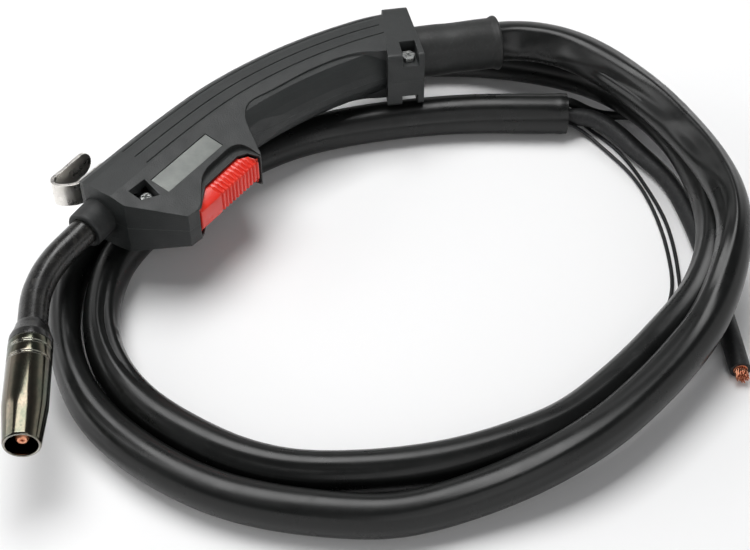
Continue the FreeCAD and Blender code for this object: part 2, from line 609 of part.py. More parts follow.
def hook_screw(point):
    head = turned([(1.72, 0.0), (1.72, 2.9), (2.5, 2.6), (3.2, 1.6), (3.45, 0.0)],
                  point, SPINEWARD)
    screw = rod(point, SPINEWARD, -6.6, 1.8, 1.5).fuse(head)
    on_axis = Placement(vec(point), Rotation(Vector(0, 0, 1), Vector(*SPINEWARD)))
    for turn in (0, 90):
        slot = Part.makeBox(0.7, 3.4, 1.2, Vector(-0.35, -1.7, 2.5))
        turn_slot = Placement(Vector(0, 0, 0), Rotation(Vector(0, 0, 1), turn))
        slot.Placement = on_axis.multiply(turn_slot)
        screw = screw.cut(slot)
    return screw


def hook_nut(point):
    return rod(point, SPINEWARD, -6.5, -3.7, 3.1).cut(rod(point, SPINEWARD, -8.0, -2.0, 1.52))


# ---------------------------------------------------------------- neck
def neck_pipe(back, front, outer_r, inner_r):
    """Tube on the neck centreline, from `back` mm behind the collar's front end
    to `front` mm along the nozzle axis."""
    # where the neck axis and the nozzle axis meet
    gap_x, gap_y = NOZZLE_RIM[0] - COLLAR_END[0], NOZZLE_RIM[1] - COLLAR_END[1]
    det = NECK[0] * NOZZLE[1] - NOZZLE[0] * NECK[1]
    corner = along(COLLAR_END, NECK, (gap_x * NOZZLE[1] - NOZZLE[0] * gap_y) / det)

    tangent_l = NECK_BEND_R * math.tan(math.radians(NOZZLE_DIR - NECK_DIR) / 2)
    bend_start = along(corner, NECK, -tangent_l)
    bend_end = along(corner, NOZZLE, tangent_l)
    bend_centre = along(bend_start, NECK_SIDE, NECK_BEND_R)
    bend_middle = along(bend_centre, unit((NECK_DIR + NOZZLE_DIR) / 2 - 90), NECK_BEND_R)
    start = vec(along(COLLAR_END, NECK_BACK, back))
    end = vec(along(NOZZLE_RIM, NOZZLE, front))
    arc = Part.Arc(vec(bend_start), vec(bend_middle), vec(bend_end))
    path = Part.Wire([Part.makeLine(start, vec(bend_start)), arc.toShape(),
                      Part.makeLine(vec(bend_end), end)])

    def bar(radius):
        section = Part.Wire(Part.makeCircle(radius, start, Vector(*NECK)))
        return path.makePipeShell([section], True, False)

    return bar(outer_r).cut(bar(inner_r))


def make_neck_collar():
    bore = NECK_OD / 2 + 0.05
    return turned([(0.0, bore), (0.0, 8.35), (0.7, 8.75), (13.0, COLLAR_OD / 2),
                   (19.5, COLLAR_OD / 2), (19.5, 6.6), (12.6, 6.6), (12.6, bore)],
                  COLLAR_END, NECK_BACK)


def make_nozzle_insulator():
    bore = NECK_OD / 2 + 0.05
    return turned([(-10.6, bore), (-10.6, 6.9), (-8.6, 7.3), (-7.6, 7.5), (-3.4, 8.95),
                   (-0.05, 9.1), (-0.05, 6.7), (9.0, 6.7), (9.0, 4.75), (-2.2, 4.75),
                   (-2.2, 4.25), (-7.9, 4.25), (-7.9, bore)], NOZZLE_RIM, NOZZLE)


def make_tip_holder():
    """Stepped sleeve with six radial holes."""
    holder = turned([(-1.95, 2.5), (-1.95, 4.2), (-1.95, 4.7), (10.0, 4.7), (11.0, 4.2),
                     (20.0, 4.2), (20.0, 2.56), (15.0, 2.56), (14.0, 1.85), (12.0, 1.85),
                     (2.0, 1.85), (2.0, 2.5)], NOZZLE_RIM, NOZZLE)
    hole_centre = along(NOZZLE_RIM, NOZZLE, 12.8)
    for i in range(6):
        a = math.radians(60 * i)
        outward = (-NOZZLE[1] * math.cos(a), NOZZLE[0] * math.cos(a), math.sin(a))
        holder = holder.cut(rod(hole_centre, outward, 1.0, 6.0, 0.7))
    return holder


def make_nozzle_spring():
    """Retaining spring around the insulator's spigot."""
    spring = coil(pitch=1.7, height=6.0, radius=7.05, wire_radius=0.32)
    spring.Placement = Placement(vec(along(NOZZLE_RIM, NOZZLE, 1.2)),
                                 Rotation(Vector(0, 0, 1), Vector(*NOZZLE)))
    return spring


def make_gas_nozzle():
    """Nozzle with two shallow grooves near its rear rim, tapering to the mouth."""
    outer, mouth, bore = NOZZLE_OD / 2, MOUTH_OD / 2, MOUTH_ID / 2
    groove = outer - 0.4
    return turned([(0.0, 7.6), (0.0, outer - 0.35), (0.35, outer),
                   (3.4, outer), (3.7, groove), (4.5, groove), (4.8, outer),
                   (9.4, outer), (9.7, groove), (10.5, groove), (10.8, outer),
                   (31.5, outer), (36.0, outer - 0.25), (NOZZLE_L - 0.5, mouth + 0.1),
                   (NOZZLE_L, mouth - 0.3), (NOZZLE_L, bore + 0.2), (NOZZLE_L - 0.5, bore),
                   (33.0, 7.4), (12.0, 7.4), (10.5, 7.6)], NOZZLE_RIM, NOZZLE)


def make_contact_tip():
    return turned([(15.2, 0.9), (15.2, 2.45), (20.1, 2.45), (20.12, 2.9), (21.0, TIP_OD / 2),
                   (45.0, TIP_OD / 2), (48.3, 2.5), (48.8, 2.0), (48.8, TIP_BORE / 2),
                   (18.0, TIP_BORE / 2), (17.0, 0.9)], NOZZLE_RIM, NOZZLE)


# ---------------------------------------------------------------- neck block in the handle
BLOCK_FRONT, BLOCK_REAR = 20.0, 46.0     # behind the collar's front end
CLAMP_POINT = along(COLLAR_END, NECK_BACK, 23.5)
BARB_POINT = along(COLLAR_END, NECK_BACK, 40.0)


def make_neck_block():
    """Brass block with a rear spigot, bored through, with two holes in its belly side."""
    def neck_rod(start, end, radius):
        return rod(COLLAR_END, NECK_BACK, start, end, radius)

    block = neck_rod(BLOCK_FRONT, BLOCK_REAR, 8.0)
    block = block.fuse(neck_rod(BLOCK_REAR, BLOCK_REAR + 9.0, 3.4))
    block = block.cut(neck_rod(BLOCK_FRONT - 1, BLOCK_FRONT + 6.05, 4.22))
    block = block.cut(neck_rod(BLOCK_FRONT - 1, BLOCK_REAR + 20, 1.85))
    block = block.cut(rod(CLAMP_POINT, NECK_SIDE, 4.0, 9.0, 1.52))
    return block.cut(rod(BARB_POINT, NECK_SIDE, 3.6, 9.0, 1.25))


def make_neck_clamp_screw():
    shank = rod(CLAMP_POINT, NECK_SIDE, 4.3, 8.6, 1.5)
    return shank.fuse(rod(CLAMP_POINT, NECK_SIDE, 8.05, 9.6, 2.7))


def make_gas_barb():
    return turned([(3.7, 0.7), (3.7, 1.22), (8.05, 1.22), (8.05, 2.2), (9.0, 2.2), (9.0, 1.2),
                   (9.72, 1.2), (9.8, 1.1), (9.8, 0.7)], BARB_POINT, NECK_SIDE)


def make_cable_ferrule():
    return turned([(46.1, 3.45), (46.1, 5.4), (66.0, 5.4), (66.0, 4.55), (56.0, 4.55),
                   (56.0, 3.45)], COLLAR_END, NECK_BACK)


# ---------------------------------------------------------------- trigger group
FACE_START, FACE_END = TRIGGER[0], (-52.9, 33.0)   # line of the trigger's finger face
FACE_LENGTH = 42.57
RIB_COUNT, RIB_START, RIB_PITCH = 11, 14.5, 2.55   # grooves across the finger face


def make_trigger():
    face = ((FACE_END[0] - FACE_START[0]) / FACE_LENGTH,
            (FACE_END[1] - FACE_START[1]) / FACE_LENGTH)
    outward = right_of(face)
    trigger = prism(TRIGGER, PART_Z - TRIG_HALF, PART_Z + TRIG_HALF)
    for i in range(RIB_COUNT):
        on_face = along(FACE_START, face, RIB_START + RIB_PITCH * i)
        trigger = trigger.cut(post(along(on_face, outward, 0.15), 0.75, PART_Z - 20, 40))
    # sloping facets along the upper and lower edges of the finger face
    facet = Part.makeBox(80, 20, 20, Vector(-20, -20, 0))
    facet_start = along(FACE_START, outward, -5.2) + (PART_Z + TRIG_HALF,)
    place(facet, facet_start, angle_of(face), 16.0)
    for cutter in (facet, mirror_z(facet)):
        trigger = trigger.cut(cutter)
    trigger = trigger.cut(post(TRIG_PIVOT, 1.55, PART_Z - 20, 40))
    # room for the spring: a round pocket and a thin slot beside it
    trigger = trigger.cut(post(TRIG_PIVOT, 3.3, PART_Z - 3.2, 6.4))
    x, y = TRIG_PIVOT
    slot = [(x - 1, y - 3.3), (x + 3.2, y + 2.4), (x + 3.2, y + 6.5), (x - 1, y + 3.3)]
    return biggest(trigger.cut(prism(slot, PART_Z - 0.9, PART_Z + 0.9)))


def make_trigger_spring():
    spring = coil(pitch=1.0, height=5.0, radius=2.45, wire_radius=0.3)
    return place(spring, TRIG_PIVOT + (PART_Z - 2.5,), 0.0)


def make_microswitch_body():
    body = box_at(SWITCH_CENTRE, BODY, 12.8, 6.4, 6.0, PART_Z - 3.0)
    body = body.cut(rod(BUTTON, BELLYWARD, -2.9, 1.0, 1.06))
    for forward in (-3.2, 3.2):
        body = body.cut(post(by_switch(forward, 1.2, PART_Z), 1.1, PART_Z - 10, 20))
    return body


def make_microswitch_terminals():
    return Part.makeCompound([
        box_at(by_switch(forward, 5.0, PART_Z), SPINEWARD, 3.6, 0.5, 2.6, PART_Z - 1.3)
        for forward in (-4.6, 4.6)])


def make_microswitch_button(trigger):
    """Button that reaches to 0.2 mm short of the trigger."""
    start = vec(BUTTON)
    ray = Part.makeLine(start, start + Vector(*BELLYWARD) * 60)
    hits = [v.Point for e in ray.common(trigger).Edges for v in e.Vertexes]
    # 3 mm stands in when the ray misses the trigger
    reach = min((math.hypot(p.x - start.x, p.y - start.y) for p in hits), default=3.0)
    return rod(BUTTON, BELLYWARD, -0.85, reach - 0.2, 1.0)


# ---------------------------------------------------------------- strain relief and sheath
def make_strain_relief():
    outer = RELIEF_OD / 2
    return turned([(-12.0, RELIEF_ID / 2), (-12.0, outer + 0.9), (-8.6, outer + 0.9),
                   (-8.6, outer), (35.0, outer - 0.1), (36.2, outer + 0.9), (37.4, outer + 0.9),
                   (37.8, outer + 0.4), (37.8, outer - 1.2), (36.0, RELIEF_ID / 2)],
                  RELIEF_FACE, RELIEF)


def make_sheath_clamp_ring():
    """Ring around the sheath inside the strain relief."""
    return turned([(4.0, 10.55), (4.0, 11.1), (12.0, 11.1), (12.0, 10.55)],
                  along(RELIEF_FACE, RELIEF, 9.0), RELIEF)


SHEATH = [(x, y, z + SHEATH_LIFT, width, height - SHEATH_TRIM)
          for x, y, z, width, height in SHEATH_PATH]
SHEATH_HEADINGS = [heading(SHEATH[max(0, i - 1)], SHEATH[min(len(SHEATH) - 1, i + 1)])
                   for i in range(len(SHEATH))]


def make_outer_sheath():
    outer = [(width, height) for x, y, z, width, height in SHEATH]
    inner = [(width - 2 * SHEATH_WALL, height - 2 * SHEATH_WALL) for width, height in outer]
    return lofted_tube([station[:3] for station in SHEATH], outer, inner)


# ---------------------------------------------------------------- what the sheath carries
def carried(side, lift, start, stop):
    """Points inside the sheath at stations start:stop. side is -1 (right wall), 0 (middle)
    or 1 (left wall) along the run; lift gives the rise for a section height."""
    points = []
    for station, ahead in list(zip(SHEATH, SHEATH_HEADINGS))[start:stop]:
        x, y, z, width, height = station
        to_left = side * (width / 2 - 3.05)
        points.append(along((x, y), right_of(ahead), -to_left) + (z + lift(height),))
    return points


def off_sheath_end(dx, dy, dz):
    x, y, z = SHEATH[-1][:3]
    return (x + dx, y + dy, z + dz)


def handle_route():
    """(x, y, belly-ward direction) on the cable's way through the handle."""
    route = []
    for i, off in ((6, 15.5), (9, 16.5), (12, 17.5), (15, 18.5)):
        belly = right_of(heading(SPINE[i - 1], SPINE[i + 1]))
        route.append(along(SPINE[i], belly, off) + (belly,))
    return route


ROUTE = handle_route()


def beside_route(offsets):
    """Points off the route: one (toward the belly, above the parting plane) for each."""
    return [along((x, y), belly, u) + (PART_Z + z,)
            for (x, y, belly), (u, z) in zip(ROUTE, offsets)]


def make_power_cable():
    """Jacket, and strands that stand 4.6 mm out of its end."""
    path = [along(COLLAR_END, NECK_BACK, d) for d in (57.0, 67.5)]
    path += beside_route([(0.0, -1.0)] * 4) + [(14.0, 122.7, PART_Z - 3.2)]
    path += carried(0, lambda height: -min(height / 2 - 5.75, 4.1), 0, -3)
    x, y, z = SHEATH[-2][:3]
    path += [(x, y, z - 3.6), off_sheath_end(0.0, 0.0, -2.4)] + CABLE_TAIL
    start, end = [Vector(*p) for p in CABLE_END]
    length = (end - start).Length
    ahead = (end - start).normalize()
    path += [start + ahead * d for d in (-7.0, 0.0, 7.0, 14.0, 21.0, length)]
    jacket = lofted_tube(path, CABLE_OD, 2 * CORE_R)
    strands = lofted_tube(path, 2 * CORE_R - 0.05)
    return jacket, strands.fuse(Part.makeCylinder(CORE_R - 0.025, 4.6, end, ahead))


def make_gas_hose():
    path = [along(BARB_POINT, NECK_SIDE, d) for d in (9.7, 10.7, 11.7, 12.7)]
    path += [(-95.4, 22.6, PART_Z + 3.4), (-92.0, 30.0, PART_Z + 6.6),
             (-88.0, 39.0, PART_Z + 6.6), (-82.0, 50.0, PART_Z + 5.4)]
    path += beside_route([(7.6, 4.0)] * 4)
    path += [(15.5, 120.0, PART_Z + 5.2), (26.0, 124.6, PART_Z + 4.6)]
    path += carried(0, lambda height: 4.4, 1, -2)
    ahead = SHEATH_HEADINGS[-1]
    path += [off_sheath_end(-ahead[0] * 12, -ahead[1] * 12, 5.2), off_sheath_end(0.0, 4.4, 4.2)]
    return lofted_tube(path + HOSE_TAIL, HOSE_OD, HOSE_ID, FINE_STEP)


def make_trigger_lead(in_handle, side, tail):
    """Lead along one wall of the sheath, -1 right or 1 left."""
    path = in_handle + carried(side, lambda height: 1.9, 1, -1)
    path += [off_sheath_end(0.0, side * 6.9, -1.0)] + tail
    return lofted_tube(path, LEAD_OD, step=FINE_STEP)


def make_trigger_lead_a():
    path = [by_switch(-4.6, 6.95, PART_Z), by_switch(-4.6, 7.8, PART_Z),
            by_switch(-3.9, 9.4, PART_Z - 0.6), by_switch(0.0, 10.8, PART_Z - 2.4),
            by_switch(5.0, 10.6, PART_Z - 4.6),
            (-76.5, 49.5, PART_Z - 5.5), (-67.8, 61.0, PART_Z - 6.0)]
    # this lead joins the route at its second point
    path += beside_route([(0.0, 0.0), (7.4, -6.3), (8.6, -6.3), (9.0, -6.3)])[1:]
    path += [(14.0, 116.0, PART_Z - 1.5), (24.0, 118.6, PART_Z + 0.5)]
    return make_trigger_lead(path, -1, LEAD_A_TAIL)


def make_trigger_lead_b():
    path = [by_switch(4.6, 6.95, PART_Z), by_switch(4.6, 7.7, PART_Z),
            by_switch(5.6, 8.8, PART_Z), by_switch(10.0, 9.2, PART_Z + 0.2),
            (-77.0, 52.0, PART_Z - 3.0)]
    path += beside_route([(2.0, -8.2), (1.0, -8.4), (-3.0, -8.0), (-8.2, -4.0)])
    path += [(10.0, 131.4, PART_Z - 0.4), (24.0, 132.4, PART_Z + 1.4)]
    return make_trigger_lead(path, 1, LEAD_B_TAIL)


# ---------------------------------------------------------------- build and write the pieces
upper_shell, lower_shell = make_handle_shells()
trigger_body = make_trigger()
cable_jacket, cable_strands = make_power_cable()

PIECES = {
    'handle_shell_upper': upper_shell,
    'handle_shell_lower': lower_shell,
    'label_plate': make_label_plate(),
    'shell_screws': make_shell_screws(),
    'shell_nuts': make_shell_nuts(),
    'hanging_hook': make_hanging_hook(),
    'hook_screws': Part.makeCompound([hook_screw(p) for p in HOOK_POINTS]),
    'hook_nuts': Part.makeCompound([hook_nut(p) for p in HOOK_POINTS]),
    'swan_neck_tube': neck_pipe(26.0, -2.0, 4.2, 2.4),
    'neck_insulation': neck_pipe(12.0, -8.0, NECK_OD / 2, 4.25),
    'wire_liner_neck': neck_pipe(52.0, 14.0, 1.75, 0.9),
    'neck_collar': make_neck_collar(),
    'nozzle_insulator': make_nozzle_insulator(),
    'tip_holder': make_tip_holder(),
    'nozzle_spring': make_nozzle_spring(),
    'gas_nozzle': make_gas_nozzle(),
    'contact_tip': make_contact_tip(),
    'neck_block': make_neck_block(),
    'neck_clamp_screw': make_neck_clamp_screw(),
    'gas_barb': make_gas_barb(),
    'trigger': trigger_body,
    'trigger_pivot_pin': post(TRIG_PIVOT, 1.5, PART_Z - 9.3, 18.6),
    'trigger_spring': make_trigger_spring(),
    'microswitch_body': make_microswitch_body(),
    'microswitch_terminals': make_microswitch_terminals(),
    'microswitch_button': make_microswitch_button(trigger_body),
    'strain_relief_tube': make_strain_relief(),
    'outer_sheath': make_outer_sheath(),
    'cable_ferrule': make_cable_ferrule(),
    'power_cable_jacket': cable_jacket,
    'power_cable_strands': cable_strands,
    'gas_hose': make_gas_hose(),
    'trigger_lead_a': make_trigger_lead_a(),
    'trigger_lead_b': make_trigger_lead_b(),
    'sheath_clamp_ring': make_sheath_clamp_ring(),
}

os.makedirs("parts", exist_ok=True)
for name, shape in PIECES.items():
    piece = shape.copy()
    piece.translate(Vector(*ORIGIN) * -1)
    piece.exportStep("parts/%s.step" % name)
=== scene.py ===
"""Welding torch with its coiled cable set, lying flat on a pale floor.

The row frame is in metres with +Z up. Sizes here are torch millimetres; to_row() shifts them to
the row's origin and scales them. The nozzle is at the -X side and points to -Y, the handle arcs
up to +Y, and the sheath makes two turns, clockwise from above, before its free end near +X.
"""
import json
import math
import bmesh
import bpy
import numpy as np
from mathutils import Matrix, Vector


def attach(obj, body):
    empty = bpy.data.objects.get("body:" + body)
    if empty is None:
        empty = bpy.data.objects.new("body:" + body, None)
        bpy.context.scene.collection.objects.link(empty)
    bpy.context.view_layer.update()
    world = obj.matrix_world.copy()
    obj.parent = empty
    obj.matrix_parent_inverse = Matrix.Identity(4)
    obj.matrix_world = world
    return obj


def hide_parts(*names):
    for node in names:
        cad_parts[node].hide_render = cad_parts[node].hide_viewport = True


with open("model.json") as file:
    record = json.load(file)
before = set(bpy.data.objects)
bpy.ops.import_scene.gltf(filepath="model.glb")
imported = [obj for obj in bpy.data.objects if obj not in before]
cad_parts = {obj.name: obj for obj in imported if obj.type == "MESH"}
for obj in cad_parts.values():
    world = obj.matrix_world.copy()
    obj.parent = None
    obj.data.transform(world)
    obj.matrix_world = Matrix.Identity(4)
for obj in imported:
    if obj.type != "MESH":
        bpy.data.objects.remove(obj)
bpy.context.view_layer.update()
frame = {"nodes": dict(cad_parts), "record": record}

MM = 0.001
TORCH_ORIGIN = np.array([8.52, 5.93, 0.2])
MID_Z = 36.0  # height of the handle's middle plane
UP = np.array([0, 0, 1.0])


def heading(degrees):
    """Unit vector in the floor plane."""
    angle = math.radians(degrees)
    return np.array([math.cos(angle), math.sin(angle), 0.0])


def left_of(direction):
    return np.array([-direction[1], direction[0], 0.0])


def to_row(points):
    """Torch millimetres to row-frame metres."""
    return (np.asarray(points, float) - TORCH_ORIGIN) * MM


# ------------------------------------------------------------------ axes of the torch
NOZZLE_BASE = np.array([-140.2, -77.4, MID_Z])
NOZZLE_DIR = heading(-83.9)
COLLAR_END = np.array([-128.6, -8.6, MID_Z])
NECK_BACK = -heading(-119.0)  # from the neck into the handle
RELIEF_START = np.array([25.4, 125.1, MID_Z])
RELIEF_DIR = heading(11.8)
SWITCH_CENTRE = (-83.4, 27.4)
SWITCH_DIR = heading(56.4)
SWITCH_SIDE = left_of(SWITCH_DIR)
CABLE_END = np.array((157.3, -62.6, 4.7))
CABLE_END_START = np.array((156.1, -34.3, 4.7))
CABLE_END_DIR = (CABLE_END - CABLE_END_START) / np.linalg.norm(CABLE_END - CABLE_END_START)

# ------------------------------------------------------------------ measured paths
# Sheath: x, y, z, section width, section height.
SHEATH_PATH = [
    (34.0, 126.9, 36.0, 20.4, 20.2), (46.0, 129.4, 36.0, 20.4, 20.2),
    (56.0, 131.4, 36.0, 20.6, 20.2), (64.2, 133.2, 36.0, 21.0, 20.0),
    (87.6, 130.5, 36.4, 21.0, 20.0), (107.6, 118.0, 36.7, 20.9, 19.9),
    (123.2, 100.1, 37.1, 20.3, 19.3), (136.1, 80.4, 37.6, 19.3, 18.9),
    (146.3, 59.0, 38.0, 18.2, 18.9), (153.9, 36.6, 38.9, 16.8, 19.8),
    (158.3, 13.3, 39.7, 15.7, 20.5), (157.7, -10.4, 38.8, 15.4, 20.1),
    (151.5, -32.1, 32.0, 16.8, 19.4), (141.0, -51.8, 24.6, 18.5, 18.7),
    (127.1, -70.9, 21.2, 18.5, 18.2), (111.2, -88.6, 20.0, 18.5, 18.0),
    (93.8, -104.8, 18.8, 18.5, 18.0), (74.1, -118.3, 16.7, 18.5, 18.0),
    (52.8, -128.3, 13.2, 18.4, 18.1), (30.6, -136.1, 10.5, 17.8, 18.7),
    (7.7, -141.9, 10.0, 17.1, 19.0), (-15.9, -141.5, 9.9, 17.3, 19.0),
    (-39.4, -138.0, 9.9, 17.6, 19.0), (-62.1, -131.2, 9.9, 17.5, 19.0),
    (-83.3, -120.0, 9.9, 17.5, 19.0), (-102.5, -105.5, 9.9, 17.4, 19.0),
    (-118.7, -87.4, 10.3, 16.2, 19.7), (-129.7, -66.0, 10.9, 14.6, 21.2),
    (-135.7, -43.0, 11.0, 14.2, 21.4), (-137.9, -19.4, 10.6, 14.8, 20.6),
    (-135.5, 4.1, 9.9, 16.5, 19.2), (-127.8, 26.5, 9.9, 18.2, 19.0),
    (-117.0, 47.5, 9.9, 18.5, 19.0), (-104.3, 67.6, 9.9, 18.5, 19.0),
    (-90.3, 86.7, 9.9, 18.5, 19.0), (-74.8, 104.5, 9.9, 18.5, 19.0),
    (-57.4, 120.7, 9.9, 18.5, 19.0), (-38.0, 134.5, 9.9, 18.5, 19.0),
    (-16.7, 144.9, 9.9, 18.5, 19.0), (6.1, 151.0, 9.9, 18.5, 19.0),
    (29.8, 153.3, 9.9, 18.5, 19.0), (53.5, 152.7, 10.1, 18.5, 19.0),
    (76.7, 148.1, 10.7, 18.5, 19.0), (98.6, 139.3, 12.2, 18.5, 19.0),
    (117.7, 125.6, 14.5, 18.5, 19.0), (133.0, 107.6, 16.4, 18.3, 19.0),
    (144.4, 86.9, 17.5, 17.8, 19.0), (152.1, 64.5, 18.4, 17.4, 19.0),
    (156.3, 41.2, 18.9, 17.0, 19.2), (156.4, 17.5, 19.2, 16.5, 19.2),
    (152.4, -5.7, 18.9, 17.0, 19.0), (143.1, -26.6, 14.4, 17.7, 19.0),
    (128.7, -45.1, 10.9, 18.0, 19.0), (113.1, -63.1, 9.9, 18.0, 19.0),
    (96.7, -79.9, 9.8, 18.0, 19.0), (78.8, -95.0, 9.8, 18.0, 19.0),
    (58.1, -105.9, 9.8, 18.0, 19.0), (36.1, -114.2, 9.8, 18.0, 19.0),
    (13.1, -119.3, 9.9, 17.9, 19.0), (-10.5, -121.4, 9.9, 17.6, 19.0),
    (-34.0, -120.4, 9.9, 17.2, 19.0), (-56.4, -113.8, 9.9, 17.2, 19.0),
    (-76.8, -102.3, 9.9, 17.2, 19.0), (-95.1, -88.0, 9.9, 16.9, 19.0),
    (-109.6, -70.2, 10.3, 16.3, 19.9), (-118.5, -48.7, 10.6, 15.8, 20.7),
    (-120.8, -25.4, 10.5, 16.4, 20.3), (-117.9, -1.9, 10.0, 17.5, 19.4),
    (-108.2, 19.6, 9.9, 18.5, 19.0), (-94.5, 39.0, 9.9, 18.8, 19.0),
    (-78.7, 56.5, 9.9, 18.9, 19.0), (-60.9, 72.3, 9.9, 19.1, 19.0),
    (-41.1, 85.3, 9.9, 19.4, 19.1), (-19.2, 94.2, 10.0, 19.9, 19.5),
    (3.7, 100.4, 9.9, 20.4, 19.5), (27.0, 104.5, 9.9, 20.6, 19.6),
    (50.6, 106.2, 10.3, 20.6, 20.2), (74.2, 106.2, 10.6, 20.6, 20.6),
    (97.9, 106.1, 10.6, 20.6, 20.6),
]
SHEATH_LIFT = 0.3
SHEATH_FLATTENING = 0.2
SHEATH = [(x, y, z + SHEATH_LIFT, width, height - SHEATH_FLATTENING)
          for x, y, z, width, height in SHEATH_PATH]

# Free ends beyond the sheath: x, y, z.
CABLE_TAIL = [
    (108.6, 104.5, 9.4), (118.4, 98.6, 8.6), (129.9, 83.8, 6.6), (142.9, 63.4, 5.3),
    (150.0, 39.4, 4.8), (153.6, 11.8, 4.7), (155.1, -12.0, 4.7),
]
HOSE_TAIL = [
    (107.5, 113.4, 8.6), (117.5, 113.8, 4.2), (128.0, 114.6, 3.0), (140.0, 113.4, 2.9),
    (149.0, 107.0, 2.9),
]
LEAD_A_TAIL = [
    (106.0, 100.6, 4.0), (115.2, 90.6, 1.7), (128.0, 68.2, 1.5), (135.0, 43.0, 1.5),
    (137.6, 6.3, 1.5), (135.6, -12.5, 1.5), (131.0, -24.9, 1.5), (123.0, -38.9, 1.5),
]
LEAD_B_TAIL = [
    (103.5, 111.3, 6.0), (108.5, 107.0, 2.4), (115.5, 99.0, 1.5), (126.0, 82.0, 1.5),
    (133.2, 62.0, 1.5), (139.4, 37.1, 1.5), (141.0, 13.1, 1.5), (140.0, -8.0, 1.5),
    (138.6, -22.5, 1.5),
]
# Handle spine where the cables run beside it: x, y.
SPINE = [
    (-90.6, 76.9), (-84.1, 84.5), (-77.4, 91.5), (-70.6, 98.1), (-63.6, 104.3), (-56.5, 110.2),
    (-49.3, 115.8), (-42.0, 121.0), (-34.6, 125.9), (-27.1, 130.5), (-19.6, 134.8), (-11.9, 138.9),
]

# Dents (negative) and ridges of the sheath: distance along, angle round (degrees, 0 = left of
# travel, 90 = up), half length, half angle, height and, if skewed, mm along per degree.
SHEATH_FORMS = [
    # flats and dimples after the strain relief
    (40, 150, 12, 40, -1.9), (60, 156, 11, 38, -1.8), (50, 153, 5.0, 34, 0.5),
    (54, 108, 40, 14, 0.9), (54, 205, 34, 18, 0.6),
    (80, 160, 13, 34, 1.1, -0.22), (98, 160, 22, 34, -2.3, -0.12), (96, 112, 28, 18, 0.9, -0.12),
    (128, 140, 21, 34, -2.3, -0.12), (148, 134, 8, 34, 0.7, -0.16),
    (166, 134, 19, 34, -2.3, -0.12), (186, 136, 8, 34, 0.6, -0.16),
    (205, 144, 18, 34, -2.1, -0.12), (140, 92, 90, 15, 1.1), (210, 92, 60, 14, 0.8),
    (243, 122, 20, 22, 1.3), (259, 160, 22, 30, -2.2),
    (300, 70, 70, 15, 0.8), (300, 112, 60, 20, -0.8),
    # first turn, -Y side
    (372, 60, 60, 11, 0.5), (372, 20, 60, 16, -0.5), (470, 45, 70, 12, 0.35),
    (560, 70, 40, 13, -0.4),
    # first turn, -X side
    (615, 118, 6, 9, 0.55), (640, 70, 40, 14, -0.5),
    # second turn
    (1062, 215, 25, 20, -0.8), (1090, 120, 50, 12, 0.5), (1150, 150, 40, 16, -0.6),
    (1230, 80, 60, 12, 0.5), (1376, 60, 50, 12, -0.5), (1420, 30, 50, 12, 0.4),
    (1493, 110, 34, 9, -1.5), (1493, 86, 34, 8, 0.6), (1493, 134, 34, 8, 0.6),
    (1545, 108, 24, 12, -0.7), (1496, 150, 3.0, 10, 0.7),
    (1745, 140, 60, 14, -0.35), (1760, 60, 40, 14, -0.3),
]


# ------------------------------------------------------------------ curves
def arc_lengths(points):
    return np.r_[0, np.cumsum(np.linalg.norm(np.diff(points[:, :3], axis=0), axis=1))]


def spline(points, step):
    """Natural cubic through rows (first three columns x, y, z): even samples and their lengths."""
    knots = np.asarray(points, float)
    chord = arc_lengths(knots)
    count = len(knots)
    gap = np.diff(chord)
    system = np.zeros((count, count))
    right = np.zeros_like(knots)
    system[0, 0] = system[-1, -1] = 1.0
    for i in range(1, count - 1):
        system[i, i - 1:i + 2] = gap[i - 1], 2 * (gap[i - 1] + gap[i]), gap[i]
        right[i] = 6 * ((knots[i + 1] - knots[i]) / gap[i] - (knots[i] - knots[i - 1]) / gap[i - 1])
    curve = np.linalg.solve(system, right)

    def at(t):
        t = np.clip(t, 0, chord[-1])
        k = np.clip(np.searchsorted(chord, t, side="right") - 1, 0, count - 2)
        before, after = (chord[k + 1] - t)[:, None], (t - chord[k])[:, None]
        width = gap[k][:, None]
        return ((curve[k] * before**3 + curve[k + 1] * after**3) / (6 * width)
                + (knots[k] / width - curve[k] * width / 6) * before
                + (knots[k + 1] / width - curve[k + 1] * width / 6) * after)

    fine_t = np.linspace(0, chord[-1], max(200, int(chord[-1] * 2)))
    fine_length = arc_lengths(at(fine_t))
    samples = max(3, int(round(fine_length[-1] / step)) + 1)
    lengths = np.linspace(0, fine_length[-1], samples)
    return at(np.interp(lengths, fine_length, fine_t)), lengths


def path_frames(path):
    """Tangent, left and upward vectors at each row of a path."""
    tangent = np.gradient(path[:, :3], axis=0)
    tangent /= np.linalg.norm(tangent, axis=1)[:, None]
    left = np.cross(UP, tangent)
    left /= np.linalg.norm(left, axis=1)[:, None]
    return tangent, left, np.cross(tangent, left)


def section(path, left, above, sides, inset=0.0, relief=None, lengths=None):
    """Oval rings along a path with width and height columns; relief(length, angle) swells them."""
    angle = np.linspace(0, 2 * math.pi, sides, endpoint=False)
    across = path[:, 3][:, None] / 2 - inset
    high = path[:, 4][:, None] / 2 - inset
    if relief is not None:
        swell = relief(lengths[:, None], angle[None, :])
        across, high = across + swell, high + swell
    rings = (path[:, None, :3] + left[:, None] * (across * np.cos(angle)[None, :])[..., None]
             + above[:, None] * (high * np.sin(angle)[None, :])[..., None])
    return rings.reshape(-1, 3)


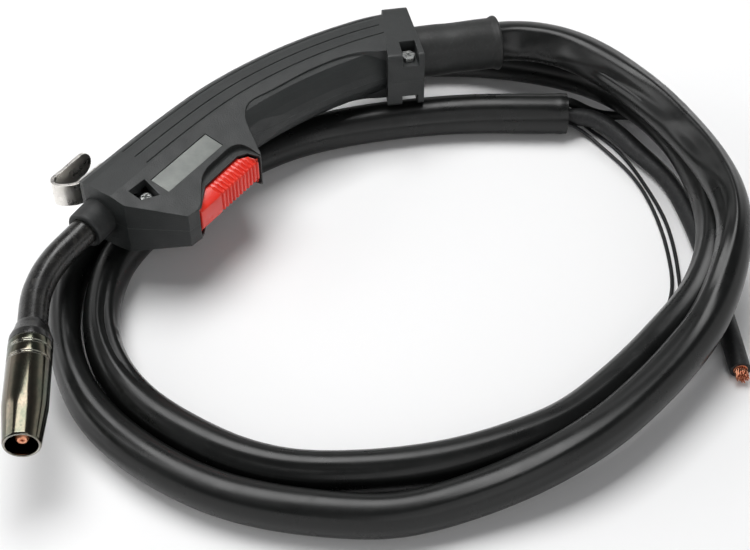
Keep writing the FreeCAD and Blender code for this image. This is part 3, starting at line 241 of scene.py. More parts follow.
# ------------------------------------------------------------------ meshes
def add_mesh(name, vertices, faces, material, sharp=None):
    """Mesh object in row metres, smooth up to the sharp angle in degrees; flat when None."""
    mesh = bpy.data.meshes.new(name)
    mesh.from_pydata([tuple(v) for v in vertices], [], [tuple(int(i) for i in f) for f in faces])
    mesh.update()
    ob = bpy.data.objects.new(name, mesh)
    bpy.context.scene.collection.objects.link(ob)
    mesh.materials.append(material)
    if sharp is not None:
        mesh.polygons.foreach_set("use_smooth", [True] * len(mesh.polygons))
        mesh.set_sharp_from_angle(angle=math.radians(sharp))
    mesh.validate()
    return ob


def fix_normals(ob):
    bm = bmesh.new()
    bm.from_mesh(ob.data)
    bmesh.ops.recalc_face_normals(bm, faces=bm.faces)
    bm.to_mesh(ob.data)
    bm.free()
    ob.data.update()


def grid_faces(rows, cols, base=0, flip=False, closed_rows=False):
    """Quads between rings of cols vertices, optionally joining the last ring to the first."""
    faces = []
    for i in range(rows if closed_rows else rows - 1):
        this, after = base + i * cols, base + (i + 1) % rows * cols
        for j in range(cols):
            k = (j + 1) % cols
            quad = (this + j, this + k, after + k, after + j)
            faces.append(quad[::-1] if flip else quad)
    return faces


def cap_fans(rows, cols):
    """Fans to the two centre vertices that follow the rings."""
    start_centre = rows * cols
    last = (rows - 1) * cols
    faces = []
    for j in range(cols):
        k = (j + 1) % cols
        faces.append((start_centre, k, j))
        faces.append((start_centre + 1, last + j, last + k))
    return faces


def annulus_ends(rows, cols):
    """Quads closing both ends between an outer shell and the inner shell after it."""
    inner = rows * cols
    last = (rows - 1) * cols
    faces = []
    for j in range(cols):
        k = (j + 1) % cols
        faces.append((inner + j, inner + k, k, j))
        faces.append((last + j, last + k, inner + last + k, inner + last + j))
    return faces


def add_tube_uvs(mesh, lengths, sides, shells):
    """U is metres along the tube, V runs 0..1 round it; faces over the seam go past 1."""
    shell = np.column_stack((np.repeat(lengths, sides) / 1000.0,
                             np.tile(np.arange(sides) / sides, len(lengths))))
    by_vertex = np.zeros((len(mesh.vertices), 2), np.float32)
    by_vertex[:shells * len(shell)] = np.tile(shell, (shells, 1))
    vertex = np.zeros(len(mesh.loops), np.int32)
    mesh.loops.foreach_get("vertex_index", vertex)
    by_loop = by_vertex[vertex]
    starts = np.zeros(len(mesh.polygons), np.int32)
    totals = np.zeros(len(mesh.polygons), np.int32)
    mesh.polygons.foreach_get("loop_start", starts)
    mesh.polygons.foreach_get("loop_total", totals)
    for start, total in zip(starts, totals):
        v = by_loop[start:start + total, 1]
        if v.max() - v.min() > 0.5:
            by_loop[start:start + total, 1] = np.where(v < 0.5, v + 1.0, v)
    mesh.uv_layers.new(name="UVMap").data.foreach_set("uv", by_loop.ravel())


def tube(name, points, material, step, sides, size=None, wall=None, relief=None, round_end=0.0):
    """Bar (wall None) or hollow tube; points hold x, y, z and, unless size is given, the section."""
    points = np.asarray(points, float)
    if size is not None:
        points = np.c_[points, np.full((len(points), 2), size)]
    path, lengths = spline(points, step)
    tangent, left, above = path_frames(path)
    vertices = [section(path, left, above, sides, 0.0, relief, lengths)]
    rows = len(path)
    faces = grid_faces(rows, sides)
    if wall is None:
        vertices.append(path[[0], :3] - tangent[[0]] * round_end)
        vertices.append(path[[-1], :3] + tangent[[-1]] * round_end)
        faces += cap_fans(rows, sides)
    else:
        vertices.append(section(path, left, above, sides, wall, relief, lengths))
        faces += grid_faces(rows, sides, rows * sides, flip=True)
        faces += annulus_ends(rows, sides)
    ob = add_mesh(name, to_row(np.vstack(vertices)), faces, material, sharp=50)
    add_tube_uvs(ob.data, lengths, sides, shells=1 if wall is None else 2)
    return ob


def fillet(profile, radius, steps=4):
    """Rounds the corners of a closed (along, radius) outline."""
    points = [np.array(p, float) for p in profile]
    rounded = []
    for i, corner in enumerate(points):
        back, ahead = points[i - 1] - corner, points[(i + 1) % len(points)] - corner
        back_length, ahead_length = np.linalg.norm(back), np.linalg.norm(ahead)
        back, ahead = back / back_length, ahead / ahead_length
        if np.clip(back @ ahead, -1, 1) < -0.985:  # nearly straight
            rounded.append(corner)
            continue
        cut = min(radius, back_length * 0.42, ahead_length * 0.42)
        start, end = corner + back * cut, corner + ahead * cut
        for k in range(steps + 1):
            t = k / steps
            rounded.append((1 - t) ** 2 * start + 2 * t * (1 - t) * corner + t * t * end)
    return rounded


def revolve(name, profile, origin, direction, material, segments, corner, bend=None):
    """Closed (along, radius) profile turned about an axis in the floor plane."""
    outline = fillet(profile, corner)
    side = left_of(direction)
    angle = np.linspace(0, 2 * math.pi, segments, endpoint=False)
    spokes = side[None] * np.cos(angle)[:, None] + UP[None] * np.sin(angle)[:, None]
    vertices = np.vstack([origin[None] + direction[None] * along + spokes * radius
                          for along, radius in outline])
    if bend is not None:
        vertices = bend(vertices)
    faces = grid_faces(len(outline), segments, closed_rows=True)
    ob = add_mesh(name, to_row(vertices), faces, material, sharp=40)
    fix_normals(ob)
    return ob


# ------------------------------------------------------------------ materials
class Material:
    """Principled material; the pattern methods return output sockets."""

    INPUTS = {"color": "Base Color", "rough": "Roughness", "metal": "Metallic",
              "spec": "Specular IOR Level", "coat": "Coat Weight", "coat_rough": "Coat Roughness"}

    def __init__(self, name):
        self.data = bpy.data.materials.new(name)
        self.data.use_nodes = True
        self.tree = self.data.node_tree
        self.principled = self.tree.nodes["Principled BSDF"]
        self.coords = None
        self.normal = None

    def node(self, kind):
        return self.tree.nodes.new(kind)

    def feed(self, socket, value):
        """Links a socket, or sets a colour or a number."""
        if isinstance(value, bpy.types.NodeSocket):
            self.tree.links.new(value, socket)
        elif isinstance(value, tuple):
            socket.default_value = (*value, 1.0)
        else:
            socket.default_value = value

    def object_coords(self):
        if self.coords is None:
            self.coords = self.node("ShaderNodeTexCoord").outputs["Object"]
        return self.coords

    def noise(self, scale, detail=3.0, roughness=0.55, stretch=None):
        node = self.node("ShaderNodeTexNoise")
        node.inputs["Scale"].default_value = scale
        node.inputs["Detail"].default_value = detail
        node.inputs["Roughness"].default_value = roughness
        source = self.object_coords()
        if stretch:
            mapping = self.node("ShaderNodeMapping")
            mapping.inputs["Scale"].default_value = stretch
            self.feed(mapping.inputs["Vector"], source)
            source = mapping.outputs["Vector"]
        self.feed(node.inputs["Vector"], source)
        return node.outputs["Fac"]

    def voronoi(self, scale):
        node = self.node("ShaderNodeTexVoronoi")
        node.inputs["Scale"].default_value = scale
        self.feed(node.inputs["Vector"], self.object_coords())
        return node.outputs["Distance"]

    def remap(self, source, span=(0.3, 0.7), to=(0.0, 1.0)):
        node = self.node("ShaderNodeMapRange")
        for socket, value in zip(node.inputs, (source, *span, *to)):
            self.feed(socket, value)
        return node.outputs[0]

    def specks(self, scale, reach):
        """Dots that fade out at the given share of a cell."""
        return self.remap(self.voronoi(scale), span=(0.0, reach), to=(1.0, 0.0))

    def math(self, operation, a, b):
        node = self.node("ShaderNodeMath")
        node.operation = operation
        self.feed(node.inputs[0], a)
        self.feed(node.inputs[1], b)
        return node.outputs[0]

    def times(self, a, b):
        return self.math("MULTIPLY", a, b)

    def plus(self, a, b):
        return self.math("ADD", a, b)

    def mix(self, factor, low, high):
        node = self.node("ShaderNodeMix")
        node.data_type = "RGBA"
        for index, value in ((0, factor), (6, low), (7, high)):
            self.feed(node.inputs[index], value)
        return node.outputs[2]

    def tones(self, source, low, high, span=(0.35, 0.65)):
        return self.mix(self.remap(source, span=span), low, high)

    def overlay(self, under, over, mask, amount):
        return self.mix(self.times(mask, amount), under, over)

    def set(self, **values):
        for key, value in values.items():
            self.feed(self.principled.inputs[self.INPUTS[key]], value)

    def bump(self, height, strength, distance, bevel=None):
        """Adds a bump over the earlier ones; a bevel may only start the chain."""
        node = self.node("ShaderNodeBump")
        node.inputs["Strength"].default_value = strength
        node.inputs["Distance"].default_value = distance
        self.feed(node.inputs["Height"], height)
        if bevel:
            self.normal = self.bevel(samples=6, radius=bevel)
        if self.normal is not None:
            self.feed(node.inputs["Normal"], self.normal)
        self.normal = node.outputs["Normal"]
        self.feed(self.principled.inputs["Normal"], self.normal)

    def bevel(self, samples, radius):
        node = self.node("ShaderNodeBevel")
        node.samples = samples
        node.inputs["Radius"].default_value = radius
        return node.outputs["Normal"]

    def edge_wear_and_highlight(self, radius):
        """0..1 mask near edges, where a bevelled normal leaves the true one."""
        dot = self.node("ShaderNodeVectorMath")
        dot.operation = "DOT_PRODUCT"
        self.feed(dot.inputs[0], self.bevel(samples=4, radius=radius))
        self.feed(dot.inputs[1], self.node("ShaderNodeNewGeometry").outputs["Normal"])
        return self.remap(dot.outputs["Value"], span=(0.998, 0.93))


def scaled(color, factor):
    return tuple(min(1, c * factor) for c in color)


def handle_plastic():
    """Grained black-green plastic with scuffed edges and pale specks."""
    m = Material("handle_plastic")
    base = m.tones(m.noise(scale=55, detail=4, roughness=0.6),
                   low=(0.0105, 0.0125, 0.0125), high=(0.0150, 0.0172, 0.0168))
    scuff = m.remap(m.noise(scale=420, detail=5, roughness=0.7), span=(0.42, 0.62), to=(0.15, 1.0))
    base = m.overlay(base, over=(0.075, 0.082, 0.08),
                     mask=m.times(m.edge_wear_and_highlight(radius=0.0007), scuff), amount=0.45)
    base = m.overlay(base, over=(0.09, 0.1, 0.1),
                     mask=m.specks(scale=700, reach=0.09), amount=0.22)
    m.set(color=base, rough=m.remap(m.noise(scale=140), to=(0.44, 0.58)), spec=0.5)
    m.bump(m.voronoi(scale=1500), strength=0.45, distance=0.00014, bevel=0.0006)
    m.bump(m.noise(scale=2600, detail=2, roughness=0.5), strength=0.30, distance=0.00009)
    return m.data


def trigger_plastic():
    m = Material("trigger_red")
    base = m.tones(m.noise(scale=90), span=(0.3, 0.7),
                   low=(0.72, 0.016, 0.006), high=(0.80, 0.026, 0.010))
    base = m.overlay(base, over=(0.92, 0.10, 0.05), mask=m.edge_wear_and_highlight(radius=0.0006), amount=0.35)
    m.set(color=base, rough=m.remap(m.noise(scale=260, detail=4), to=(0.26, 0.38)),
          spec=0.55, coat=0.25, coat_rough=0.18)
    m.bump(m.noise(scale=1800, detail=2), strength=0.12, distance=0.00006, bevel=0.0005)
    return m.data


def bright_nickel(rough=0.26):
    """Clouded bright plating with fine scratches."""
    m = Material("bright_nickel")
    cloud = m.noise(scale=120, detail=4, roughness=0.6)
    scratches = m.noise(scale=900, detail=2, roughness=0.5, stretch=(1.0, 0.06, 1.0))
    base = m.tones(cloud, span=(0.35, 0.7), low=(0.84, 0.815, 0.775), high=(0.70, 0.675, 0.63))
    cloud_rough = m.remap(cloud, span=(0.3, 0.75), to=(rough * 0.7, rough * 1.6))
    scratch_rough = m.remap(scratches, span=(0.5, 0.8), to=(0.0, 0.05))
    m.set(color=base, metal=1.0, rough=m.plus(cloud_rough, scratch_rough))
    m.bump(scratches, strength=0.04, distance=0.00005, bevel=0.0003)
    m.bump(m.noise(scale=340, detail=2), strength=0.035, distance=0.00025)
    return m.data


def nozzle_metal():
    """Dark mottled base colour as painted dark reflection; near-white rims and groove edges as
    painted highlights.
    """
    m = Material("nozzle_metal")
    cloud = m.noise(scale=95, detail=6, roughness=0.72, stretch=(1.0, 0.45, 1.0))
    fine = m.noise(scale=620, detail=5, roughness=0.75)
    # painted reflection: dark mottled base colour stands in for dark surroundings seen in the
    # plating
    base = m.tones(cloud, span=(0.36, 0.62), low=(0.175, 0.145, 0.11), high=(0.075, 0.092, 0.068))
    base = m.mix(m.remap(fine, span=(0.5, 0.72), to=(0.0, 0.6)),
                 low=base, high=(0.05, 0.055, 0.045))
    # painted highlight: near-white base colour on rims and groove edges through the edge mask
    base = m.mix(m.edge_wear_and_highlight(radius=0.0005), low=base, high=(0.95, 0.92, 0.86))
    m.set(color=base, metal=1.0, rough=m.remap(cloud, span=(0.3, 0.75), to=(0.09, 0.20)))
    m.bump(m.noise(scale=340, detail=2), strength=0.04, distance=0.00022)
    m.bump(fine, strength=0.05, distance=0.00005)
    return m.data


def clouded_metal(name, low, high, rough, cloud_scale, grain_scale, cloud_detail=4,
                  grain_strength=0.1, grain_depth=0.00005, bevel=0.0002):
    """Two-tone metal; the clouds drive the roughness too."""
    m = Material(name)
    cloud = m.noise(scale=cloud_scale, detail=cloud_detail)
    m.set(color=m.tones(cloud, low, high, span=(0.35, 0.7)), metal=1.0,
          rough=m.remap(cloud, to=rough))
    m.bump(m.noise(scale=grain_scale, detail=2), grain_strength, grain_depth, bevel)
    return m.data


def zinc_steel():
    return clouded_metal("zinc_steel", low=(0.62, 0.64, 0.64), high=(0.42, 0.43, 0.40),
                         rough=(0.22, 0.42), cloud_scale=900, grain_scale=2500, cloud_detail=3,
                         grain_strength=0.15, grain_depth=0.00006, bevel=0.00025)


def copper(name, rough):
    return clouded_metal(name, low=(0.86, 0.40, 0.25), high=(0.66, 0.27, 0.15),
                         rough=(rough, rough + 0.18), cloud_scale=700, grain_scale=2200)


def neck_brass():
    return clouded_metal("neck_metal", low=(0.72, 0.53, 0.26), high=(0.56, 0.38, 0.17),
                         rough=(0.22, 0.4), cloud_scale=500, grain_scale=1500)


def liner_steel():
    """Steel with a fine wave over the surface."""
    m = Material("liner_steel")
    cloud = m.noise(scale=800, detail=4)
    m.set(color=m.mix(cloud, low=(0.42, 0.43, 0.45), high=(0.28, 0.29, 0.30)), metal=1.0,
          rough=m.remap(cloud, to=(0.25, 0.4)))
    wave = m.node("ShaderNodeTexWave")
    wave.inputs["Scale"].default_value = 700
    m.feed(wave.inputs["Vector"], m.object_coords())
    m.bump(wave.outputs["Fac"], strength=0.3, distance=0.0001)
    return m.data


def pvc(name, tint, rough, spec=0.38):
    """Semi-gloss flexible hose with dust, faint rub marks and slow waviness."""
    m = Material(name)
    base = m.tones(m.noise(scale=28, detail=4, roughness=0.6), low=tint, high=scaled(tint, 1.45))
    rub = m.remap(m.noise(scale=230, detail=6, roughness=0.72, stretch=(1.0, 1.0, 0.5)),
                  span=(0.56, 0.74))
    base = m.overlay(base, over=(0.035, 0.036, 0.034), mask=rub, amount=0.22)
    base = m.overlay(base, over=(0.16, 0.16, 0.15),
                     mask=m.specks(scale=1100, reach=0.07), amount=0.07)
    base_rough = m.remap(m.noise(scale=75, detail=4, roughness=0.6), to=rough)
    m.set(color=base, rough=m.plus(base_rough, m.times(rub, 0.08)), spec=spec)
    m.bump(m.noise(scale=60, detail=2), strength=0.06, distance=0.0009)
    m.bump(m.noise(scale=1400), strength=0.08, distance=0.00007)
    return m.data


def rubber(name, tint, rough, grain, dust):
    """Matt rubber; grain is its noise scale, dust the strength of the pale film."""
    m = Material(name)
    base = m.tones(m.noise(scale=80, detail=4, roughness=0.6), low=tint, high=scaled(tint, 1.6))
    film = m.remap(m.noise(scale=600, detail=6, roughness=0.75), span=(0.52, 0.7))
    base = m.overlay(base, over=(0.10, 0.10, 0.095), mask=film, amount=dust)
    m.set(color=base, rough=m.remap(m.noise(scale=200, detail=4), to=rough), spec=0.45)
    m.bump(m.noise(scale=grain, roughness=0.7), strength=0.28, distance=0.0001, bevel=0.0004)
    return m.data


def neck_black():
    """Semi-gloss black with scuffs and patches of pale specks."""
    m = Material("neck_black")
    base = m.tones(m.noise(scale=60, detail=4, roughness=0.6),
                   low=(0.0050, 0.0050, 0.0052), high=(0.0150, 0.0145, 0.0130))
    scuff = m.remap(m.noise(scale=260, detail=6, roughness=0.75, stretch=(1.0, 0.5, 1.0)),
                    span=(0.55, 0.72))
    base = m.overlay(base, over=(0.075, 0.070, 0.058), mask=scuff, amount=0.35)
    patches = m.remap(m.noise(scale=210), span=(0.47, 0.60))
    base = m.overlay(base, over=(0.26, 0.24, 0.19),
                     mask=m.times(m.specks(scale=1300, reach=0.20), patches), amount=0.75)
    base_rough = m.remap(m.noise(scale=180, detail=4), to=(0.20, 0.34))
    m.set(color=base, rough=m.plus(base_rough, m.times(scuff, 0.16)),
          spec=0.45, coat=0.15, coat_rough=0.16)
    m.bump(m.noise(scale=130), strength=0.14, distance=0.0007)
    m.bump(m.noise(scale=900), strength=0.10, distance=0.00008)
    return m.data


def label_metal():
    m = Material("label_metal")
    brushing = m.noise(scale=1400, detail=2, roughness=0.5, stretch=(0.05, 1.0, 1.0))
    base = m.tones(m.noise(scale=130, detail=4), span=(0.3, 0.7),
                   low=(0.125, 0.133, 0.126), high=(0.165, 0.174, 0.164))
    m.set(color=base, metal=0.55, rough=m.remap(brushing, to=(0.36, 0.5)))
    m.bump(brushing, strength=0.08, distance=0.00004, bevel=0.0002)
    return m.data


def plain_plastic(name, tint, rough=0.45):
    m = Material(name)
    cloud = m.noise(scale=200, detail=4)
    m.set(color=m.mix(cloud, low=tint, high=scaled(tint, 1.25)),
          rough=m.remap(cloud, to=(rough - 0.05, rough + 0.08)))
    m.bump(m.noise(scale=1500), strength=0.12, distance=0.00006, bevel=0.0002)
    return m.data


MATERIALS = {
    "handle_plastic": handle_plastic(),
    "label_metal": label_metal(),
    "bright_nickel": bright_nickel(),
    "zinc_steel": zinc_steel(),
    "collar_rubber": rubber("collar_rubber", tint=(0.011, 0.012, 0.012), rough=(0.5, 0.64),
                            grain=1500, dust=0.12),
    "neck_black": neck_black(),
    "neck_metal": neck_brass(),
    "liner_steel": liner_steel(),
    "copper": copper("copper", rough=0.24),
    "trigger_red": trigger_plastic(),
    "switch_plastic": plain_plastic("switch_plastic", tint=(0.03, 0.03, 0.033)),
    "button_plastic": plain_plastic("button_plastic", tint=(0.62, 0.6, 0.52), rough=0.35),
    "sheath_pvc": pvc("sheath_pvc", tint=(0.0042, 0.0046, 0.0044), rough=(0.25, 0.36)),
    "cable_rubber": rubber("cable_rubber", tint=(0.0065, 0.0070, 0.0075), rough=(0.46, 0.6),
                           grain=1100, dust=0.28),
    "copper_strand": copper("copper_strand", rough=0.2),
    "hose_black": pvc("hose_black", tint=(0.006, 0.0065, 0.0065), rough=(0.32, 0.5)),
    "lead_black": pvc("lead_black", tint=(0.006, 0.0065, 0.007), rough=(0.3, 0.42)),
}


def dress_cad_pieces():
    slots = {part["node"]: part["material_slot"] for part in frame["record"]["subparts"]}
    for node, ob in frame["nodes"].items():
        mesh = ob.data
        mesh.materials.clear()
        mesh.materials.append(MATERIALS[slots[node]])
        mesh.polygons.foreach_set("use_smooth", [True] * len(mesh.polygons))
        mesh.set_sharp_from_angle(angle=math.radians(28))


def stand(ob, body, node):
    """Puts an object in the place of a CAD node."""
    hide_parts(node)
    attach(ob, body)


# ------------------------------------------------------------------ sheath
def sheath_form(along, angle, centre, centre_angle, half_length, half_angle, height, skew=0.0):
    turn = (np.degrees(angle) - centre_angle + 180.0) % 360.0 - 180.0
    offset = along - centre - skew * turn
    return height * np.exp(-((offset / half_length) ** 2 + (turn / half_angle) ** 2) * 1.2)


def sheath_relief(along, angle):
    """Dents and ridges, slow waves, and a small lip at the calmer free end."""
    swell = sum(sheath_form(along, angle, *form) for form in SHEATH_FORMS)
    swell = swell + 0.16 * (np.sin(along / 23.0 + 1.3 * np.sin(angle + 0.6))
                            * np.cos(2 * angle + along / 61.0))
    calm_start, calm_length, lip_centre = 1796.0, 6.0, 1804.5
    fade = 1.0 - np.clip((along - calm_start) / calm_length, 0, 1)
    lip = 0.25 * np.exp(-((along - lip_centre) / 1.2) ** 2)
    return swell * np.maximum(fade, 0.25) + lip


def build_sheath():
    sheath = tube("sheath_hose", SHEATH, MATERIALS["sheath_pvc"], step=1.5, sides=72,
                  wall=1.05, relief=sheath_relief)
    stand(sheath, "torch", "outer_sheath")


# ------------------------------------------------------------------ cable routes
def carried(rows, rise, side=lambda width: 0.0):
    """Points inside the sheath, moved left by side(width) and up by rise(height)."""
    tangents = np.gradient(np.array([row[:3] for row in SHEATH]), axis=0)
    tangents[:, 2] = 0
    tangents /= np.linalg.norm(tangents, axis=1)[:, None]
    points = []
    for (x, y, z, width, height), t in list(zip(SHEATH, tangents))[rows]:
        left = side(width)
        points.append((x - t[1] * left, y + t[0] * left, z + rise(height)))
    return points


def handle_stations():
    """Four points right of the spine's travel, each x, y and the rightward normal."""
    stations = []
    for i, offset in zip((1, 4, 7, 10), (15.5, 16.5, 17.5, 18.5)):
        dx, dy = SPINE[i + 1][0] - SPINE[i - 1][0], SPINE[i + 1][1] - SPINE[i - 1][1]
        length = math.hypot(dx, dy)
        right = (dy / length, -dx / length)
        stations.append((SPINE[i][0] + right[0] * offset, SPINE[i][1] + right[1] * offset, right))
    return stations


STATIONS = handle_stations()
SHEATH_END = SHEATH[-1]


def in_handle(stations, shifts):
    """Stations moved by (right, up from the middle plane) shifts."""
    return [(x + n[0] * right, y + n[1] * right, MID_Z + up)
            for (x, y, n), (right, up) in zip(stations, shifts)]


def by_switch(shifts):
    """Points at (along, side, up) from the switch centre."""
    return [(SWITCH_CENTRE[0] + SWITCH_DIR[0] * along + SWITCH_SIDE[0] * side,
             SWITCH_CENTRE[1] + SWITCH_DIR[1] * along + SWITCH_SIDE[1] * side, MID_Z + up)
            for along, side, up in shifts]


def off_sheath_end(dx, dy, dz):
    return (SHEATH_END[0] + dx, SHEATH_END[1] + dy, SHEATH_END[2] + dz)


def cable_route():
    route = [tuple(COLLAR_END + NECK_BACK * d) for d in (57.0, 67.5)]
    route += in_handle(STATIONS, [(0.0, -1.0)] * 4) + [(14.0, 122.7, MID_Z - 3.2)]
    route += carried(slice(0, -3), rise=lambda height: -min(height / 2 - 5.75, 4.1))
    x, y, z = SHEATH[-2][:3]
    route += [(x, y, z - 3.6), off_sheath_end(0, 0, -2.4)] + CABLE_TAIL
    return route + [tuple(CABLE_END_START + CABLE_END_DIR * d)
                    for d in (-7.0, 0.0, 7.0, 14.0, 21.0, 28.3)]


CABLE_ROUTE = cable_route()


# ------------------------------------------------------------------ cables
def cable_relief(along, angle):
    return (0.10 * np.sin(along / 9.0 + 2 * angle) * np.sin(along / 37.0)
            + 0.07 * np.sin(3 * angle + along / 14.0))


def build_cable_jacket():
    jacket = tube("power_cable", CABLE_ROUTE, MATERIALS["cable_rubber"], step=2.2, sides=36,
                  size=9.0, wall=1.35, relief=cable_relief)
    stand(jacket, "torch", "power_cable_jacket")


def build_strands():
    """Copper core along the whole cable, and loose wires fanning out of its free end."""
    core_size, core_sides = 6.1, 14
    wire_rings = [(0, 1), (0.85, 6), (1.65, 12), (2.42, 17)]  # ring radius, wires
    wire_rows, wire_sides = 8, 8
    wire_length, wire_radius, buried = 4.4, 0.40, 1.2

    core, _ = spline([point + (core_size, core_size) for point in CABLE_ROUTE], 6.0)
    _, left, above = path_frames(core)
    vertices = [section(core, left, above, core_sides), core[[0], :3], core[[-1], :3]]
    faces = grid_faces(len(core), core_sides) + cap_fans(len(core), core_sides)
    base = len(core) * core_sides + 2
    rng = np.random.default_rng(7)
    side = left_of(CABLE_END_DIR)

    def around(angle):
        return side * math.cos(angle) + UP * math.sin(angle)

    for ring_radius, count in wire_rings:
        for k in range(count):
            start_angle = 2 * math.pi * k / count + ring_radius
            length = wire_length + rng.uniform(-0.9, 0.9)
            radius = wire_radius * rng.uniform(0.88, 1.05)
            spread = rng.uniform(0.95, 1.16)
            for row in range(wire_rows):
                t = row / (wire_rows - 1)
                centre = (CABLE_END - CABLE_END_DIR * buried
                          + CABLE_END_DIR * (t * (length + buried))
                          + around(start_angle + 0.5 * t)
                          * (ring_radius * (1 + (spread - 1) * t * t)))
                row_radius = radius * (0.55 if row == wire_rows - 1 else 1.0)
                for j in range(wire_sides):
                    angle = 2 * math.pi * j / wire_sides
                    vertices.append((centre + around(angle) * row_radius)[None])
            faces += grid_faces(wire_rows, wire_sides, base)
            faces.append(tuple(base + (wire_rows - 1) * wire_sides + j for j in range(wire_sides)))
            faces.append(tuple(base + j for j in reversed(range(wire_sides))))
            base += wire_rows * wire_sides
    strands = add_mesh("copper_strands", to_row(np.vstack(vertices)), faces,
                       MATERIALS["copper_strand"], sharp=50)
    stand(strands, "torch", "power_cable_strands")


def build_gas_hose():
    inlet = COLLAR_END + NECK_BACK * 40.0
    right = -left_of(NECK_BACK)
    route = [tuple(inlet + right * d) for d in (9.7, 10.7, 11.7, 12.7)]
    route += [(-95.4, 22.6, MID_Z + 3.4), (-92.0, 30.0, MID_Z + 6.6),
              (-88.0, 39.0, MID_Z + 6.6), (-82.0, 50.0, MID_Z + 5.4)]
    route += in_handle(STATIONS, [(7.6, 4.0)] * 4)
    route += [(15.5, 120.0, MID_Z + 5.2), (26.0, 124.6, MID_Z + 4.6)]
    route += carried(slice(1, -2), rise=lambda height: 4.4)
    route += [off_sheath_end(-12, 0, 5.2), off_sheath_end(0, 4.4, 4.2)] + HOSE_TAIL
    hose = tube("gas_hose_tube", route, MATERIALS["hose_black"], step=3.0, sides=24,
                size=4.8, wall=0.9)
    stand(hose, "torch", "gas_hose")


def build_leads():
    """Lead A keeps to the right inside the sheath, lead B to the left."""
    wall_gap = 3.05  # from the sheath's side to a lead's middle
    lead_a = by_switch([(-4.6, 6.95, 0), (-4.6, 7.8, 0), (-3.9, 9.4, -0.6), (0.0, 10.8, -2.4),
                        (5.0, 10.6, -4.6)])
    lead_a += [(-76.5, 49.5, MID_Z - 5.5), (-67.8, 61.0, MID_Z - 6.0)]
    lead_a += in_handle(STATIONS[1:], [(7.4, -6.3), (8.6, -6.3), (9.0, -6.3)])
    lead_a += [(14.0, 116.0, MID_Z - 1.5), (24.0, 118.6, MID_Z + 0.5)]
    lead_a += carried(slice(1, -1), rise=lambda height: 1.9,
                      side=lambda width: -(width / 2 - wall_gap))
    lead_a += [off_sheath_end(0, -6.9, -1.0)] + LEAD_A_TAIL

    lead_b = by_switch([(4.6, 6.95, 0), (4.6, 7.7, 0), (5.6, 8.8, 0), (10.0, 9.2, 0.2)])
    lead_b += [(-77.0, 52.0, MID_Z - 3.0)]
    lead_b += in_handle(STATIONS, [(2.0, -8.2), (1.0, -8.4), (-3.0, -8.0), (-8.2, -4.0)])
    lead_b += [(10.0, 131.4, MID_Z - 0.4), (24.0, 132.4, MID_Z + 1.4)]
    lead_b += carried(slice(1, -1), rise=lambda height: 1.9,
                      side=lambda width: width / 2 - wall_gap)
    lead_b += [off_sheath_end(0, 6.9, -1.0)] + LEAD_B_TAIL

    for letter, route in (("a", lead_a), ("b", lead_b)):
        lead = tube(f"lead_{letter}_wire", route, MATERIALS["lead_black"], step=2.5, sides=14,
                    size=1.8, round_end=0.25)
        stand(lead, "torch", f"trigger_lead_{letter}")


# ------------------------------------------------------------------ trigger
FACE_START, FACE_END = np.array([-76.7, -2.3]), np.array([-53.3, 32.6])  # outer face, x, y
TRIGGER_BACK = [  # x, y
    (-54.6, 32.2), (-58.5, 34.0), (-62.3, 32.3), (-66.0, 33.0), (-70.2, 26.6),
    (-76.0, 17.0), (-77.8, 11.0), (-79.2, 9.4), (-78.4, 2.4), (-78.2, -1.4),
]
RIB_START, RIB_PITCH, RIB_COUNT = 13.6, 2.52, 11.0
PIVOT = (-80.0, 3.0)
HUB_RADIUS, HUB_BORE, HUB_HALF, HUB_SIDES = 3.1, 1.56, 6.9, 48


def groove_share(along):
    """0 on a rib's crest and off the ribbed stretch, 1 at the bottom of a groove."""
    phase = (along - RIB_START) / RIB_PITCH
    if not 0.0 < phase < RIB_COUNT:
        return 0.0
    share = 1.0 - min(1.0, max(0.0, (abs(phase - math.floor(phase) - 0.5) - 0.17) / 0.17))
    return share * (1.0 if 0.15 < phase < 10.9 else 0.5)


def trigger_outline(depth, groove, end_round):
    """(inward, z) outline of one section, mirrored about the middle plane."""
    face = 0.95 * groove + end_round
    cut = 0.85 * groove
    edge = min(depth * 0.9, 5.2)
    upper = [(face, 4.2), (face + 0.25, 4.95 - cut * 0.3), (face + 1.0, 5.45 - cut),
             (min(depth * 0.55, 3.2) + 0.3, 6.2 - cut * 0.9), (edge + 0.05, 6.9 - cut * 0.25),
             (max(depth, edge + 0.1), 6.95)]
    lower = [(inward, -z) for inward, z in reversed(upper)]
    return lower[-1:] + upper + lower[:-1]


